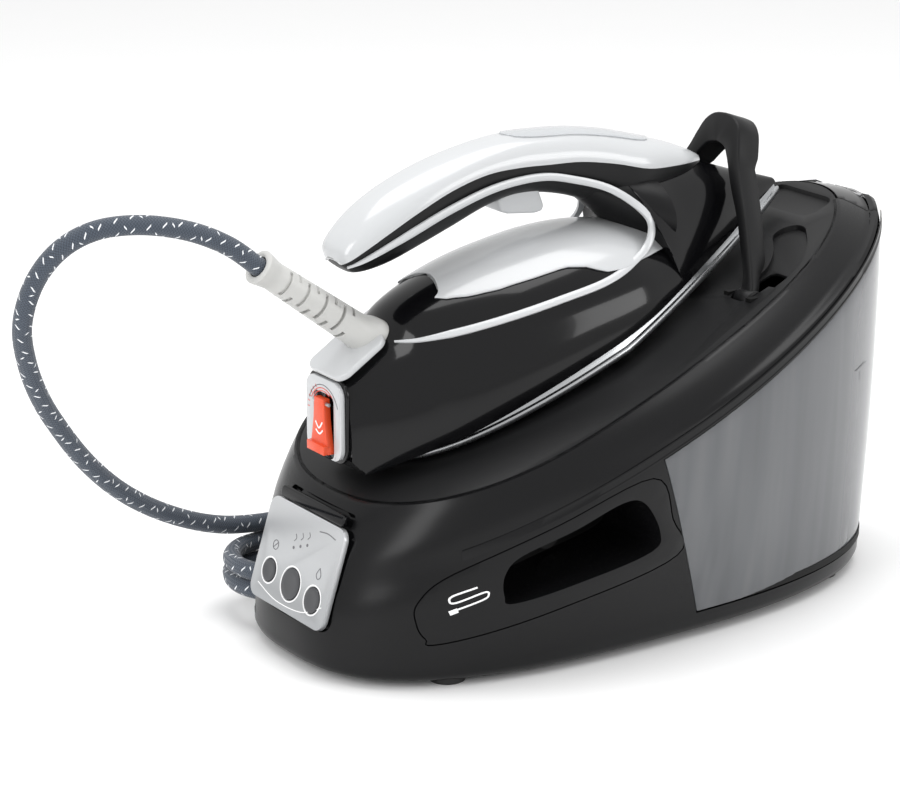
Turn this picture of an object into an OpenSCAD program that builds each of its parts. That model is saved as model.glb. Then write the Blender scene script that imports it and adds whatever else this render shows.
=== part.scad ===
// Steam generator iron: a base with boiler, pump and pull-out water tank, and an iron
// that rests on the sloping top and is joined to the base by a steam hose.
// X runs from the control panel (-X) to the water tank (+X), Z is up, and the origin lies
// on the table under the middle of the base. Lengths are millimetres.

/* [Base] */
// Length of the base from the front wall to the rim over the tank
base_len = 400.4; // [396:0.4:404]
// Width of the base across the rim
base_w = 233; // [229:1:237]
// Wall thickness of the base housings
wall = 3; // [2.4:0.2:3.6]
// Height of the rubber feet
foot_h = 4; // [3:0.5:6]
// Diameter of each foot
foot_d = 20; // [16:1:24]

/* [Iron] */
// Thickness of the soleplate's visible lower plate
sole_t = 4; // [3:0.5:5]
// Half the width of the soleplate
sole_hw = 57; // [55:0.5:58]
// Steam holes in each row of the soleplate
steam_holes = 9; // [5:1:12]

/* [Steam hose] */
// Outer diameter of the braided hose
hose_d = 10.5; // [9.5:0.5:10.5]
// Sides of the tube that stands for the hose
hose_sides = 10; // [8:1:12]

/* [Buttons] */
// Travel of the panel buttons
button_travel = 1.5; // [1:0.25:2]
// Travel of the steam trigger
trigger_travel = 4; // [3:0.5:4]

/* [Hidden] */
sides = 44;

// Outlines: [front x, rear x, half width, front exponent, rear exponent, widest x]
rear_x = base_len / 2;
front_x = -rear_x;
floor_line = [front_x, rear_x - 16, 100.5, 2.79, 2.44, -5.5];
rim_line = [front_x + 4.4, rear_x, base_w / 2, 2.2, 1.88, -5.5];
seam_line = [front_x + 28.4, rear_x - 28.4, 100.5, 2.33, 2.02, -60.5];
// Sloping planes: height over the origin and rise along X
rim_at = 129.8;
rim_rise = 0.404;
seam_at = 155.9;
seam_rise = 0.362;
// Visible edge of the iron rest's plate
rest_edge = 2.2;

// The iron's own frame: its sole plane passes over the origin at this height and tilt
sole_at = 161.5;
sole_tilt = 21.5;
// Lift-off direction above the sole plane
lift_angle = 38;

// Tank bay: the leaning front wall and the notch round the boiler
bay_x = 10.8;
bay_lean = 20;
notch_x = 138;
notch_hw = 76;
tank_floor_z = 17;

// Storage bay of the hose, beside the front of the base
store_x1 = -208;
store_x2 = -11.4;
store_y1 = 22;
// The skin of the body is open beyond this line
store_skin_y = 41.6;
store_z1 = 11;
store_z2 = 50;
// Folds of the stored hose: centres and radius, and the drop for each turn
fold_a = [-156.4, 64];
fold_b = [-54, 64];
fold_r = 34;
fold_pitch = 10.7;
fold_top = 42.4;
// Outlet of the hose in the bay's rear wall
outlet_y = 86;
outlet_z = 18.5;
outlet_x = -15.6;

// Cord compartment in the near side
cord_depth = 60;

// Sheet thickness of the boiler
boiler_wall = 1.8;

// Lock hoop: pivot, lean at rest and plate thickness
hoop_x = 70;
hoop_z = 176;
hoop_lean = 19;
hoop_t = 7;
hoop_pin_r = 3;
hoop_foot_y = 60;
// The hoop's band is deeper above this height along it
hoop_thin_to = 16;
hoop_deeper = 9;

// Control panel plate: centre, lean and size
panel_c = [-190.4, 0, 56];
panel_lean = 17.8;
panel_w = 76;
panel_h = 57;
button_spots = [[-23, -12, 6.2], [0, -13, 8.6], [23, -15, 7]];

function sgn_pow(v, p) = sign(v) * pow(abs(v), p);

// One point of an outline at angle a, grown outwards by g
function line_pt(o, a, g = 0) =
    let (c = cos(a), s = sin(a))
    let (half = c < 0 ? o[5] - o[0] + g : o[1] - o[5] + g)
    let (n = c < 0 ? o[3] : o[4])
    [o[5] + sgn_pow(c, 2 / n) * half, sgn_pow(s, 2 / n) * (o[2] + g)];

// A ring of points on a sloping plane
function ring(o, at, rise, g = 0) =
    [for (i = [0:sides - 1]) let (p = line_pt(o, 360 * i / sides, g))
        [p.x, p.y, at + rise * p.x]];

// A ring part of the way from one ring to another, pushed outwards by bulge
function between(a, b, t, bulge = 0) =
    [for (i = [0:len(a) - 1]) let (p = a[i] * (1 - t) + b[i] * t)
        let (d = norm([p.x + 5, p.y]))
        [p.x + (p.x + 5) / d * bulge, p.y + p.y / d * bulge, p.z]];

// Solid through rings that all have the same number of points
module loft(rings) {
    n = len(rings[0]);
    m = len(rings);
    polyhedron(
        points = [for (r = rings) each r],
        faces = concat(
            [[for (i = [0:n - 1]) i]],
            [for (k = [0:m - 2], i = [0:n - 1])
                [k * n + i, (k + 1) * n + i, (k + 1) * n + (i + 1) % n, k * n + (i + 1) % n]],
            [[for (i = [n - 1:-1:0]) (m - 1) * n + i]]),
        convexity = 8);
}

// Closed skin through rings, where the last ring joins the first again
module loft_loop(rings) {
    n = len(rings[0]);
    m = len(rings);
    polyhedron(
        points = [for (r = rings) each r],
        faces = [for (k = [0:m - 1], i = [0:n - 1])
            [k * n + i, ((k + 1) % m) * n + i, ((k + 1) % m) * n + (i + 1) % n,
                k * n + (i + 1) % n]],
        convexity = 10);
}

// Rings up the side of the body, from the table edge to the rim
function body_rings(g) =
    let (a = ring(floor_line, foot_h, 0, g - 4), b = ring(floor_line, foot_h + 5, 0, g))
    let (c = ring(rim_line, rim_at, rim_rise, g))
    [a, b, between(b, c, 0.35, 2), between(b, c, 0.7, 2), c];

module body_solid(g = 0) loft(body_rings(g));

// Rings of the cover, from the rim up to the seam of the iron rest
function cover_rings(g) =
    let (a = ring(rim_line, rim_at + 0.4, rim_rise, g), b = ring(seam_line, seam_at, seam_rise, g))
    [a, between(a, b, 0.4, 2), between(a, b, 0.75, 1.4), b];

// Everything below a sloping plane
module below(at, rise) {
    translate([0, 0, at]) rotate([0, -atan(rise), 0])
        translate([-600, -300, -600]) cube([1200, 600, 600]);
}

// Everything behind the tank bay's leaning front wall, moved back by d
module behind_bay(d = 0) {
    translate([bay_x + d, 0, 0]) rotate([0, -bay_lean, 0])
        translate([0, -300, -100]) cube([500, 600, 600]);
}

// Rounded bar in exact primitives
module block(size, r) {
    linear_extrude(size.z) {
        square([size.x - 2 * r, size.y], center = true);
        square([size.x, size.y - 2 * r], center = true);
        for (x = [-1, 1], y = [-1, 1])
            translate([x * (size.x / 2 - r), y * (size.y / 2 - r)]) circle(r, $fn = 32);
    }
}

// Straight round pipe from p to q
module rod(p, q, r, fn = 24) {
    d = q - p;
    l = norm(d);
    translate(p) rotate([0, acos(d.z / l), atan2(d.y, d.x)]) cylinder(h = l, r = r, $fn = fn);
}

// Bent pipe through points, with a ball at every bend
module pipe(pts, r) {
    for (i = [0:len(pts) - 2]) rod(pts[i], pts[i + 1], r);
    for (i = [1:len(pts) - 2]) translate(pts[i]) sphere(r, $fn = 24);
}

// ---- base housings ----
boss_spots = [[-120, -46], [-120, 0], [-20, -72], [20, 64], [122, -48], [122, 48]];
foot_spots = [[-140, -69], [-140, 69], [130, -61], [130, 61]];

module base_plate() {
    color("#1d1d1f") translate([0, 0, foot_h + 0.6]) difference() {
        linear_extrude(wall) polygon([for (i = [0:59]) line_pt(floor_line, 6 * i, -wall - 5.6)]);
        for (p = boss_spots) translate([p.x, p.y, -1]) cylinder(h = 20, r = 1.8, $fn = 24);
        for (p = foot_spots) translate([p.x, p.y, -1]) cylinder(h = 20, r = 4.05, $fn = 24);
    }
}

module feet() {
    color("#111111") for (p = foot_spots) translate([p.x, p.y, 0]) {
        cylinder(h = foot_h, r = foot_d / 2, $fn = 36);
        translate([0, 0, foot_h]) cylinder(h = 0.6, r = 6, $fn = 24);
        translate([0, 0, foot_h + 0.6]) cylinder(h = wall, r = 4, $fn = 24);
    }
}

module base_screws() {
    color("silver") for (p = boss_spots) translate([p.x, p.y, foot_h - 1.6]) {
        cylinder(h = 2.2, r = 3.4, $fn = 24);
        translate([0, 0, 2.2]) cylinder(h = wall + 6, r = 1.45, $fn = 24);
    }
}

module body_shell() {
    color("#26272a") difference() {
        loft_loop(concat(body_rings(0), [for (i = [4:-1:0]) body_rings(-wall)[i]]));
        intersection() {
            behind_bay();
            translate([-100, -200, tank_floor_z - 1]) cube([400, 400, 300]);
        }
        cord_prism(0.5, -140, -40);
        translate([store_x1, store_skin_y, store_z1 + 2])
            cube([store_x2 - 2 - store_x1, 120, store_z2 - store_z1 - 4]);
        panel_frame() block([panel_w + 1, panel_h + 17, 12], 7);
    }
}

// Pan that the tank stands on, with the screw bosses under it
module tank_tray() {
    intersection() {
        body_solid(-wall - 0.4);
        behind_bay(-2);
        translate([-100, -200, tank_floor_z - 4]) cube([400, 400, 3]);
    }
}

module bay_bulkhead() {
    color("#2c2d30") difference() {
        union() {
            intersection() {
                translate([20, 0, foot_h + wall + 0.8]) difference() {
                    block([232, 146, 300], 18);
                    translate([0, 0, -1]) block([226, 140, 302], 15);
                }
                behind_bay(-3.6);
            }
            intersection() {
                body_solid(-wall - 0.4);
                difference() {
                    behind_bay(-3.6);
                    behind_bay(-1);
                }
                translate([-200, -200, foot_h + wall + 0.8]) cube([400, 400, 300]);
            }
            difference() {
                tank_tray();
                translate([20, 0, 0]) block([229, 143, 300], 17);
            }
        }
        translate([-60, -70, 0]) cube([80, 140, 300]);
        difference() {
            translate([-300, -300, 0]) cube([600, 600, 600]);
            below(rim_at - 4, rim_rise);
        }
        translate([130, 0, 40]) rotate([0, 90, 0]) cylinder(h = 10, r = 6.05, $fn = 32);
        translate([-60, 20, 0]) cube([51.5, 200, 52]);
    }
}

// Outline of the cord compartment, as a prism through the near side, grown by g
module cord_prism(g, y1, y2) {
    translate([0, y2, 0]) rotate([90, 0, 0]) linear_extrude(y2 - y1) offset(g)
        polygon([[-152, 27], [-15.5, 57], [-25, 83], [-38, 107], [-96, 86], [-150, 62],
            [-161, 52], [-164, 40], [-160, 31]]);
}

// Mouth of the cord compartment
module cord_mouth(g, y1, y2) {
    translate([0, y2, 0]) rotate([90, 0, 0]) linear_extrude(y2 - y1) offset(g)
        polygon([[-112, 46], [-34, 64], [-30, 74], [-44, 94], [-54, 96], [-112, 74],
            [-122, 64], [-120, 52]]);
}

module cord_bay() {
    color("#303135") intersection() {
        body_solid(-0.6);
        difference() {
            union() {
                difference() {
                    cord_prism(0, -140, -60);
                    body_solid(-wall - 0.6);
                }
                cord_mouth(2.5, -140, -cord_depth + 5);
            }
            cord_mouth(0, -141, -cord_depth + 2.5);
            translate([-70, -cord_depth + 8, 66]) rotate([90, 0, 0]) cylinder(h = 12, r = 5.05, $fn = 32);
        }
    }
}

module mains_gland() {
    color("#18181a") translate([-70, -cord_depth + 8, 66]) rotate([90, 0, 0]) difference() {
        union() {
            cylinder(h = 12, r = 5, $fn = 32);
            translate([0, 0, 5.6]) cylinder(h = 6, r = 8, $fn = 32);
            cylinder(h = 3, r = 7, $fn = 32);
        }
        translate([0, 0, -1]) cylinder(h = 14, r = 3.2, $fn = 32);
    }
}

// Shelf for the folded hose, open to the far side and to the front corner
module hose_bay() {
    color("#2a2b2e") difference() {
        intersection() {
            body_solid(-wall - 0.4);
            translate([store_x1, store_y1 - 2.5, store_z1]) cube([store_x2 - store_x1, 140, store_z2 - store_z1]);
        }
        translate([store_x1 - 1, store_y1, store_z1 + 2])
            cube([store_x2 - store_x1 - 1, 140, store_z2 - store_z1 - 4]);
        translate([store_x2 - 2, outlet_y, outlet_z]) rotate([0, 90, 0])
            cylinder(h = 10, r = 4.45, center = true, $fn = 32);
        translate([-260, -60, 0]) cube([84, 60 + store_skin_y, 100]);
    }
}

module hose_gland() {
    color("#c8a24a") translate([outlet_x, outlet_y, outlet_z]) rotate([0, 90, 0])
        cylinder(h = 7.4, r = 4.4, $fn = 32);
}

// Gap round the lid, which lets its flanks swing past the cover
lid_gap = 3.4;

module tank_lid_prism(g) {
    translate([0, 0, 60]) linear_extrude(300)
        polygon([[160 - g, 24], [160 - g, -24], [168, -26 - g], [240, -110 - g], [240, 110 + g], [168, 26 + g]]);
}

module top_cover() {
    color("#242528") difference() {
        loft_loop(concat(cover_rings(0), [for (i = [3:-1:0]) cover_rings(-wall)[i]]));
        loft([ring(seam_line, seam_at - rest_edge - 0.2, seam_rise, 3), ring(seam_line, seam_at + 3, seam_rise, 3)]);
        tank_lid_prism(lid_gap);
        panel_frame() block([panel_w + 1, panel_h + 17, 12], 7);
    }
}

module iron_rest() {
    color("#2b2c2f") difference() {
        union() {
            loft([ring(seam_line, seam_at - rest_edge, seam_rise, -0.3), ring(seam_line, seam_at, seam_rise, -0.3)]);
            loft([ring(seam_line, seam_at - 4.4, seam_rise, -wall - 0.6),
                ring(seam_line, seam_at - 1, seam_rise, -wall - 0.6)]);
        }
        for (s = [-1, 1]) translate([58, s * (hoop_foot_y - 2) - 13.6, 140]) cube([44, 27.2, 80]);
    }
}

pad_spots = [[-95, 30], [-95, -30], [-10, 40], [-10, -40], [80, 0]];

module rest_pads() {
    color("#55585c") iron_frame() for (p = pad_spots)
        translate([p.x, p.y, 0]) {
            gap = 5.2 + 0.028 * p.x;
            translate([0, 0, -gap + 0.25]) cylinder(h = gap - 0.55, r = 5, $fn = 24);
        }
}

// ---- base insides ----
module boiler() {
    color("#b9bcc0") difference() {
        union() {
            translate([-2, 0, 74]) rotate([0, 90, 0]) cylinder(h = 100, r = 44, $fn = 64);
            translate([98, 0, 74]) rotate([0, 90, 0]) cylinder(h = 4, r = 30, $fn = 48);
            translate([30, 0, 115]) cylinder(h = 10, r = 7, $fn = 32);
        }
        translate([0, 0, 74]) rotate([0, 90, 0]) cylinder(h = 96, r = 44 - boiler_wall, $fn = 64);
        translate([30, 0, 100]) cylinder(h = 40, r = 3.05, $fn = 32);
    }
}

module boiler_brackets() {
    color("#8d9094") for (x = [14, 74]) translate([x, 0, 0]) difference() {
        translate([-3, -34, foot_h + wall + 0.8]) cube([6, 68, 34]);
        translate([-10, 0, 74]) rotate([0, 90, 0]) cylinder(h = 20, r = 44.1, $fn = 64);
    }
}

module boiler_element() {
    color("#6f6256") {
        translate([-6, 0, 60]) rotate([0, 90, 0]) cylinder(h = 4, r = 22, $fn = 48);
        for (y = [-9, 9]) translate([-18, y, 60]) rotate([0, 90, 0]) cylinder(h = 12, r = 3, $fn = 24);
    }
}

module thermal_cutout() {
    color("#e8e0c8") translate([66, 0, 117]) difference() {
        union() {
            translate([0, 0, 1.2]) cylinder(h = 8, r = 8, $fn = 32);
            translate([-14, -4, 1.1]) cube([28, 8, 1.6]);
        }
        for (x = [-11, 11]) translate([x, 0, 0]) cylinder(h = 4, r = 1.6, $fn = 20);
    }
}

module pump() {
    color("#3a3f45") {
        translate([-92, -22, 30]) rotate([0, 90, 0]) cylinder(h = 44, r = 17, $fn = 40);
        translate([-48, -22, 30]) rotate([0, 90, 0]) cylinder(h = 12, r = 7, $fn = 28);
        translate([-104, -22, 30]) rotate([0, 90, 0]) cylinder(h = 12, r = 5, $fn = 28);
    }
}

module pump_mount() {
    color("#161616") for (x = [-88, -58]) translate([x, -22, 0]) difference() {
        translate([0, -12, foot_h + wall + 0.8]) cube([6, 24, 9]);
        translate([-1, 0, 30]) rotate([0, 90, 0]) cylinder(h = 10, r = 17.1, $fn = 40);
    }
}

module steam_valve() {
    color("#777b80") {
        translate([-44, -20, 82]) cube([26, 24, 30]);
        translate([-31, -8, 112]) cylinder(h = 8, r = 8, $fn = 32);
    }
}

module steam_pipe() {
    color("#c7c9cc") {
        pipe([[30, 0, 125.2], [30, 0, 132], [-31, 0, 132], [-31, -8, 132], [-31, -8, 120.2]], 3);
        pipe([[-44.2, -8, 97], [-52, -8, 97], [-52, 10, 97], [-52, 10, outlet_z], [-4.2, 10, outlet_z],
            [-4.2, outlet_y, outlet_z], [-8, outlet_y, outlet_z]], 3);
    }
}

module water_tube() {
    color("#d9dde0") {
        pipe([[125.8, 0, 40], [118, 0, 40], [118, -38, 40], [118, -38, 12.5], [-20, -38, 12.5],
            [-20, -22, 12.5], [-20, -22, 30], [-35.8, -22, 30]], 3);
        pipe([[-104.2, -22, 30], [-112, -22, 30], [-112, -22, 66], [-112, -48, 66], [20, -48, 66],
            [20, -43.5, 66]], 2.5);
    }
}

module tank_coupling() {
    color("#101010") translate([126, 0, 40]) rotate([0, 90, 0]) difference() {
        union() {
            cylinder(h = 18, r = 6, $fn = 32);
            translate([0, 0, 0]) cylinder(h = 6.4, r = 9, $fn = 32);
        }
        translate([0, 0, 3]) cylinder(h = 20, r = 3, $fn = 32);
    }
}

module terminal_block() {
    color("#ded9cc") translate([-100, -44, 84]) difference() {
        block([44, 16, 14], 2);
        for (i = [-1.5:1:1.5]) translate([i * 10, 0, 6]) cylinder(h = 10, r = 2.4, $fn = 20);
    }
}

module control_board() {
    color("#2c6b45") {
        translate([-160, -30, foot_h + wall + 1]) cube([54, 1.6, 46]);
        translate([-150, -42, 20]) cube([16, 12, 16]);
        translate([-128, -40, 24]) cube([12, 10, 22]);
    }
}

// ---- control panel ----
module panel_frame() {
    translate(panel_c) rotate([0, -90 + panel_lean, 0]) rotate([0, 0, -90]) translate([0, 0, -6]) children();
}

module control_panel() {
    color("#b4b6b9") panel_frame() difference() {
        translate([0, -0.5, 4.4]) block([panel_w, panel_h, 3], 7);
        for (b = button_spots) translate([b.x, b.y, 0]) cylinder(h = 12, r = b[2] + 0.4, $fn = 40);
    }
}

module panel_strip() {
    color("#0d0d0f") panel_frame() translate([0, panel_h / 2 + 3.3, 4.2]) block([64, 6.4, 2.6], 2.5);
}

module button_board() {
    color("#27613e") panel_frame() {
        translate([-30, -24, -3]) cube([60, 22, 1.6]);
        for (b = button_spots) translate([b.x - 3, b.y - 3, -1.4]) cube([6, 6, 2]);
    }
}

module panel_button(i) {
    b = button_spots[i];
    color("#3c3d40") panel_frame() translate([b.x, b.y, 0]) {
        translate([0, 0, 2.6]) cylinder(h = 5.4, r = b[2], $fn = 40);
        translate([0, 0, 2.3]) cylinder(h = 1.2, r = b[2] + 1.4, $fn = 40);
    }
}

module power_button() panel_button(0);
module mode_button() panel_button(1);
module descale_button() panel_button(2);

// ---- water tank ----
module tank_body(g, back) {
    intersection() {
        body_solid(g);
        behind_bay(back);
        below(rim_at - 1, rim_rise);
        translate([-200, -200, tank_floor_z]) cube([600, 400, 300]);
    }
}

module notch(g) {
    translate([notch_x - 200 + g, -notch_hw - g, -50]) cube([200, 2 * notch_hw + 2 * g, 400]);
}

module water_tank() {
    color("#8f9296", 0.45) difference() {
        tank_body(-0.3, 0.6);
        notch(0);
        difference() {
            intersection() {
                body_solid(-3);
                behind_bay(3.4);
                translate([-200, -200, tank_floor_z + 2.6]) cube([600, 400, 300]);
            }
            notch(2.6);
        }
        translate([0, 0, 0]) difference() {
            translate([-300, -300, 0]) cube([900, 600, 600]);
            below(rim_at - 3.6, rim_rise);
        }
        translate([notch_x - 5, 0, 40]) rotate([0, 90, 0]) cylinder(h = 12, r = 9.05, $fn = 32);
    }
}

lid_pin_at = [188.5, 0, 212.4];
lid_end = 190.9;

module lid_pin_hole(r) {
    translate([lid_pin_at.x, 0, lid_pin_at.z]) rotate([90, 0, 0]) cylinder(h = 100, r = r, center = true, $fn = 24);
}

// Shell of the cover behind the lid seam
module cover_back(g) {
    intersection() {
        difference() {
            loft(cover_rings(0));
            below(rim_at + g, rim_rise);
            loft([ring(seam_line, 0, seam_rise, 0.6), ring(seam_line, seam_at + 60, seam_rise, 0.6)]);
        }
        tank_lid_prism(0);
    }
}

module tank_roof() {
    color("#2a2b2e") difference() {
        union() {
            intersection() {
                body_solid(-0.3);
                behind_bay(0.6);
                below(rim_at - 1, rim_rise);
            }
            intersection() {
                loft(concat([ring(rim_line, rim_at - 2.5, rim_rise, -0.4)], cover_rings(0)));
                tank_lid_prism(0);
                translate([lid_end + 0.5, -100, 100]) cube([40, 200, 200]);
            }
            translate([186, -5, 202]) cube([4.4, 10, 12]);
        }
        difference() {
            below(rim_at - 3.5, rim_rise);
            translate([186, -5, 202]) cube([4.4, 10, 12]);
        }
        notch(0);
        translate([150, -34, 100]) cube([36, 68, 200]);
        lid_pin_hole(1.01);
    }
}

module tank_valve() {
    color("#d8d8d8") translate([notch_x - 1.6, 0, 40]) rotate([0, 90, 0]) difference() {
        union() {
            cylinder(h = 12, r = 9, $fn = 32);
            translate([0, 0, 5]) cylinder(h = 3, r = 13, $fn = 32);
        }
        translate([0, 0, -1]) cylinder(h = 9, r = 6.4, $fn = 32);
        translate([0, 0, 4]) cylinder(h = 20, r = 2, $fn = 32);
    }
}

module tank_lid() {
    color("#3b3d41") difference() {
        cover_back(0.9);
        loft([for (i = [0:3]) [for (p = cover_rings(-wall)[i]) [p.x, p.y, p.z - (i == 3 ? 3 : 0) - (i == 0 ? 3 : 0)]]]);
        translate([lid_end, -100, 100]) cube([40, 200, 200]);
        translate([184.6, -5.4, 100]) cube([20, 10.8, 200]);
        lid_pin_hole(1.05);
    }
}

module lid_pin() {
    color("silver") translate([lid_pin_at.x, 0, lid_pin_at.z]) rotate([90, 0, 0])
        cylinder(h = 40, r = 1, center = true, $fn = 24);
}

// ---- lock hoop ----
module hoop_frame() {
    translate([hoop_x, 0, hoop_z]) rotate([0, hoop_lean, 0]) children();
}

// Front view of the hoop, with X up along it
module hoop_outline() {
    side = [[0, hoop_foot_y + 6], [8, 64], [22, 56.5], [44, 43], [62, 30], [74, 22.5], [84, 18.5],
        [92.5, 14.5], [96.8, 8], [98, 0]];
    hole = [[0, hoop_foot_y - 6], [12, hoop_foot_y - 6], [24, 46.5], [42, 35], [56, 24],
        [66, 16.5], [74, 11.5], [79, 7], [80.8, 0]];
    for (m = [0, 1]) mirror([0, m]) polygon(concat(side, reversed(hole)));
}

module lock_hoop() {
    color("#1c1c1e") hoop_frame() {
        difference() {
            union() {
                translate([hoop_t / 2, 0, 0]) rotate([0, -90, 0]) linear_extrude(hoop_t) hoop_outline();
                translate([hoop_t / 2 + hoop_deeper, 0, 0]) rotate([0, -90, 0])
                    linear_extrude(hoop_deeper + 1) intersection() {
                        hoop_outline();
                        translate([hoop_thin_to, -60]) square([100, 120]);
                    }
            }
            for (s = [-1, 1]) translate([0, s * hoop_foot_y, 0]) rotate([90, 0, 0])
                cylinder(h = 14, r = 6.6, center = true, $fn = 36);
        }
        for (s = [-1, 1]) translate([0, s * hoop_foot_y, 0]) rotate([90, 0, 0]) difference() {
            cylinder(h = 12, r = 6.6, center = true, $fn = 36);
            cylinder(h = 14, r = hoop_pin_r + 0.05, center = true, $fn = 36);
        }
    }
}

module hoop_pins() {
    color("silver") for (s = [-1, 1]) translate([hoop_x, s * hoop_foot_y, hoop_z]) rotate([90, 0, 0])
        cylinder(h = 23, r = hoop_pin_r, center = true, $fn = 36);
}

module hoop_brackets() {
    color("#34363a") for (s = [-1, 1], e = [-1, 1])
        translate([hoop_x, s * hoop_foot_y + e * 9.5, 0]) difference() {
            translate([-8, -2, 158]) cube([16, 4, 22.6]);
            translate([0, 0, hoop_z]) rotate([90, 0, 0])
                cylinder(h = 6, r = hoop_pin_r + 0.01, center = true, $fn = 36);
        }
}

// ---- iron ----
module iron_frame() translate([0, 0, sole_at]) rotate([0, -sole_tilt, 0]) children();

// Soleplate outline in the iron's frame
sole_line = [-150, 153, sole_hw, 2.4, 1.145, -11];

module soleplate() {
    color("#c9cbcd") iron_frame() difference() {
        union() {
            linear_extrude(sole_t) polygon([for (i = [0:71]) line_pt(sole_line, 5 * i)]);
            translate([0, 0, sole_t]) linear_extrude(4) polygon([for (i = [0:71]) line_pt(sole_line, 5 * i, -2.5)]);
        }
        for (k = [0:steam_holes - 1], s = [-1, 1]) let (x = 118 - k * 22)
            translate([x, s * (0.72 * line_pt(sole_line, acos(pow(max(0, (x + 11) / 164), 1.145 / 2)))[1] - 4), -1])
                cylinder(h = 20, r = 1.5, $fn = 16);
    }
}

module steam_chamber() {
    color("#9a9c9f") iron_frame() translate([-20, 0, 8.2]) difference() {
        union() {
            translate([-20, 0, 0]) block([150, 64, 14], 24);
            translate([44, 0, 0]) block([44, 30, 12], 12);
        }
        translate([-110, 0, 8]) rotate([0, 90, 0]) cylinder(h = 66, r = 4.5, $fn = 32);
    }
}

module iron_element() {
    color("#5d5550") iron_frame() for (y = [-18, 18]) {
        translate([-118, y, 27]) rotate([0, 90, 0]) cylinder(h = 110, r = 4, $fn = 28);
        translate([-6, y, 27]) sphere(4, $fn = 28);
    }
}

module iron_thermostat() {
    color("#e6dfcf") iron_frame() translate([20, 0, 22.4]) cylinder(h = 9, r = 9, $fn = 32);
}

// Cross sections of the iron's shell: [x, half width, height of the crest]
low_body = [[-182, 19, 54], [-168, 25, 58], [-160, 29, 60], [-140, 39, 63], [-128, 44, 66], [-119, 47, 75],
    [-100, 51, 78], [-75, 54, 78], [-50, 55.5, 75], [-25, 56, 70], [0, 55, 64], [22, 50, 56],
    [40, 44, 46], [52, 40, 38]];
nose_body = [[51, 40.3, 73.5], [58, 38, 70], [68, 34.5, 64.5], [78, 31, 60], [93, 25.5, 53.5],
    [104, 21, 47.5], [116, 16, 38], [128, 11, 28], [140, 6.5, 19], [150, 2.6, 11]];
shell_z = 8.3;
arc_steps = 18;

// Arch-shaped section at s, from angle a to b, offset inwards by g
function arch(s, a, b, g, n = arc_steps) =
    [for (k = [0:n]) let (t = a + (b - a) * k / n)
        [s[0], cos(t) * max(0.6, s[1] - g), shell_z + sin(t) * max(0.8, s[2] - shell_z - g)]];

function reversed(v) = [for (i = [len(v) - 1:-1:0]) v[i]];

// Thin arched skin between two offsets
function skin(s, a, b, g1, g2, n = arc_steps) = concat(arch(s, a, b, g1, n), reversed(arch(s, a, b, g2, n)));

// Space round the foot of the strain relief
module relief_hole() {
    translate(relief_low) rotate([0, -90 + relief_rise, 0]) translate([0, 0, -8]) cylinder(h = 40, r = 12.3, $fn = 36);
}

module iron_shell() {
    color("#0f0f11") difference() {
        iron_frame() difference() {
            union() {
                loft([for (s = low_body) skin(s, 0, 180, 0, 2.5)]);
                loft([for (s = nose_body) skin(s, 0, 180, 0, 2.2)]);
                loft([for (x = [51, 54.5]) [for (k = [0:arc_steps]) let (t = 180 * k / arc_steps)
                    [x, cos(t) * 38, shell_z + sin(t) * 63.5]]]);
            }
            translate([0, 60, 0]) rotate([90, 0, 0]) linear_extrude(120)
                polygon([[-210, 0], [-170, 0], [-170, 8.5], [-174.5, 18.5], [-158, 60.5], [-148, 100], [-210, 100]]);
        }
        relief_hole();
    }
}

module saddle_panel() {
    color("#e9eaec") iron_frame()
        loft([for (s = [for (q = low_body) if (q[0] > -92 && q[0] < 45) q])
            skin(s, 55, 125, -1.4, -0.1)]);
}

// Handle stations: crown, side seam and underside in the XZ plane, and half width
handle = [[[-133.5, 119], [-132.5, 115], [-131, 111], 7], [[-131, 124], [-129.5, 117], [-127, 106], 13],
    [[-122, 129], [-120, 119], [-118, 102.5], 16.5], [[-107, 134], [-105, 121], [-104, 100], 18.5],
    [[-86, 136.5], [-86, 122.5], [-86, 99], 19], [[-60, 136], [-61, 122.5], [-62, 98], 18],
    [[-35, 132.5], [-37, 119], [-41, 97.5], 17], [[-12, 127], [-17, 112], [-23, 95], 17],
    [[8, 119], [1, 104], [-6, 89], 17], [[28, 109.5], [20, 95.5], [12, 80], 17.5],
    [[49, 97], [40, 83.5], [30, 67], 18], [[67, 84], [58, 71], [46, 52], 18],
    [[85, 70.5], [78, 61], [60, 40], 16], [[97, 59.5], [93, 54.5], [80, 36], 11],
    [[105, 50.5], [104, 48.5], [100, 34], 3]];

// Half ring of a handle station over its seam (up = 1) or under it (up = -1), offset by g
function half_ring(h, up, a, b, g) =
    let (m = h[1], c = (up > 0 ? h[0] : h[2]) - h[1])
    let (k = (norm(c) + g) / norm(c))
    [for (i = [0:12]) let (t = a + (b - a) * i / 12)
        [m.x + c.x * k * sin(t), cos(t) * (h[3] + g), m.y + c.y * k * sin(t)]];

module handle_cover() {
    color("#eeeeef") iron_frame()
        loft([for (h = handle) half_ring(h, 1, 0, 180, 0)]);
}

module handle_grip() {
    color("#141416") iron_frame() difference() {
        translate([0, 0, -0.15]) loft(reversed([for (h = handle) half_ring(h, -1, 0, 180, 0)]));
        translate([50.7, -60, -20]) cube([120, 120, 200]);
        translate([-34, -9.5, 60]) cube([31, 19, 49]);
    }
}

module indicator_lens() {
    color("#b8bcc0", 0.6) iron_frame()
        loft([for (i = [7:11]) concat(half_ring(handle[i], 1, 58, 122, 1.6),
            reversed(half_ring(handle[i], 1, 58, 122, 0.1)))]);
}

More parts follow.
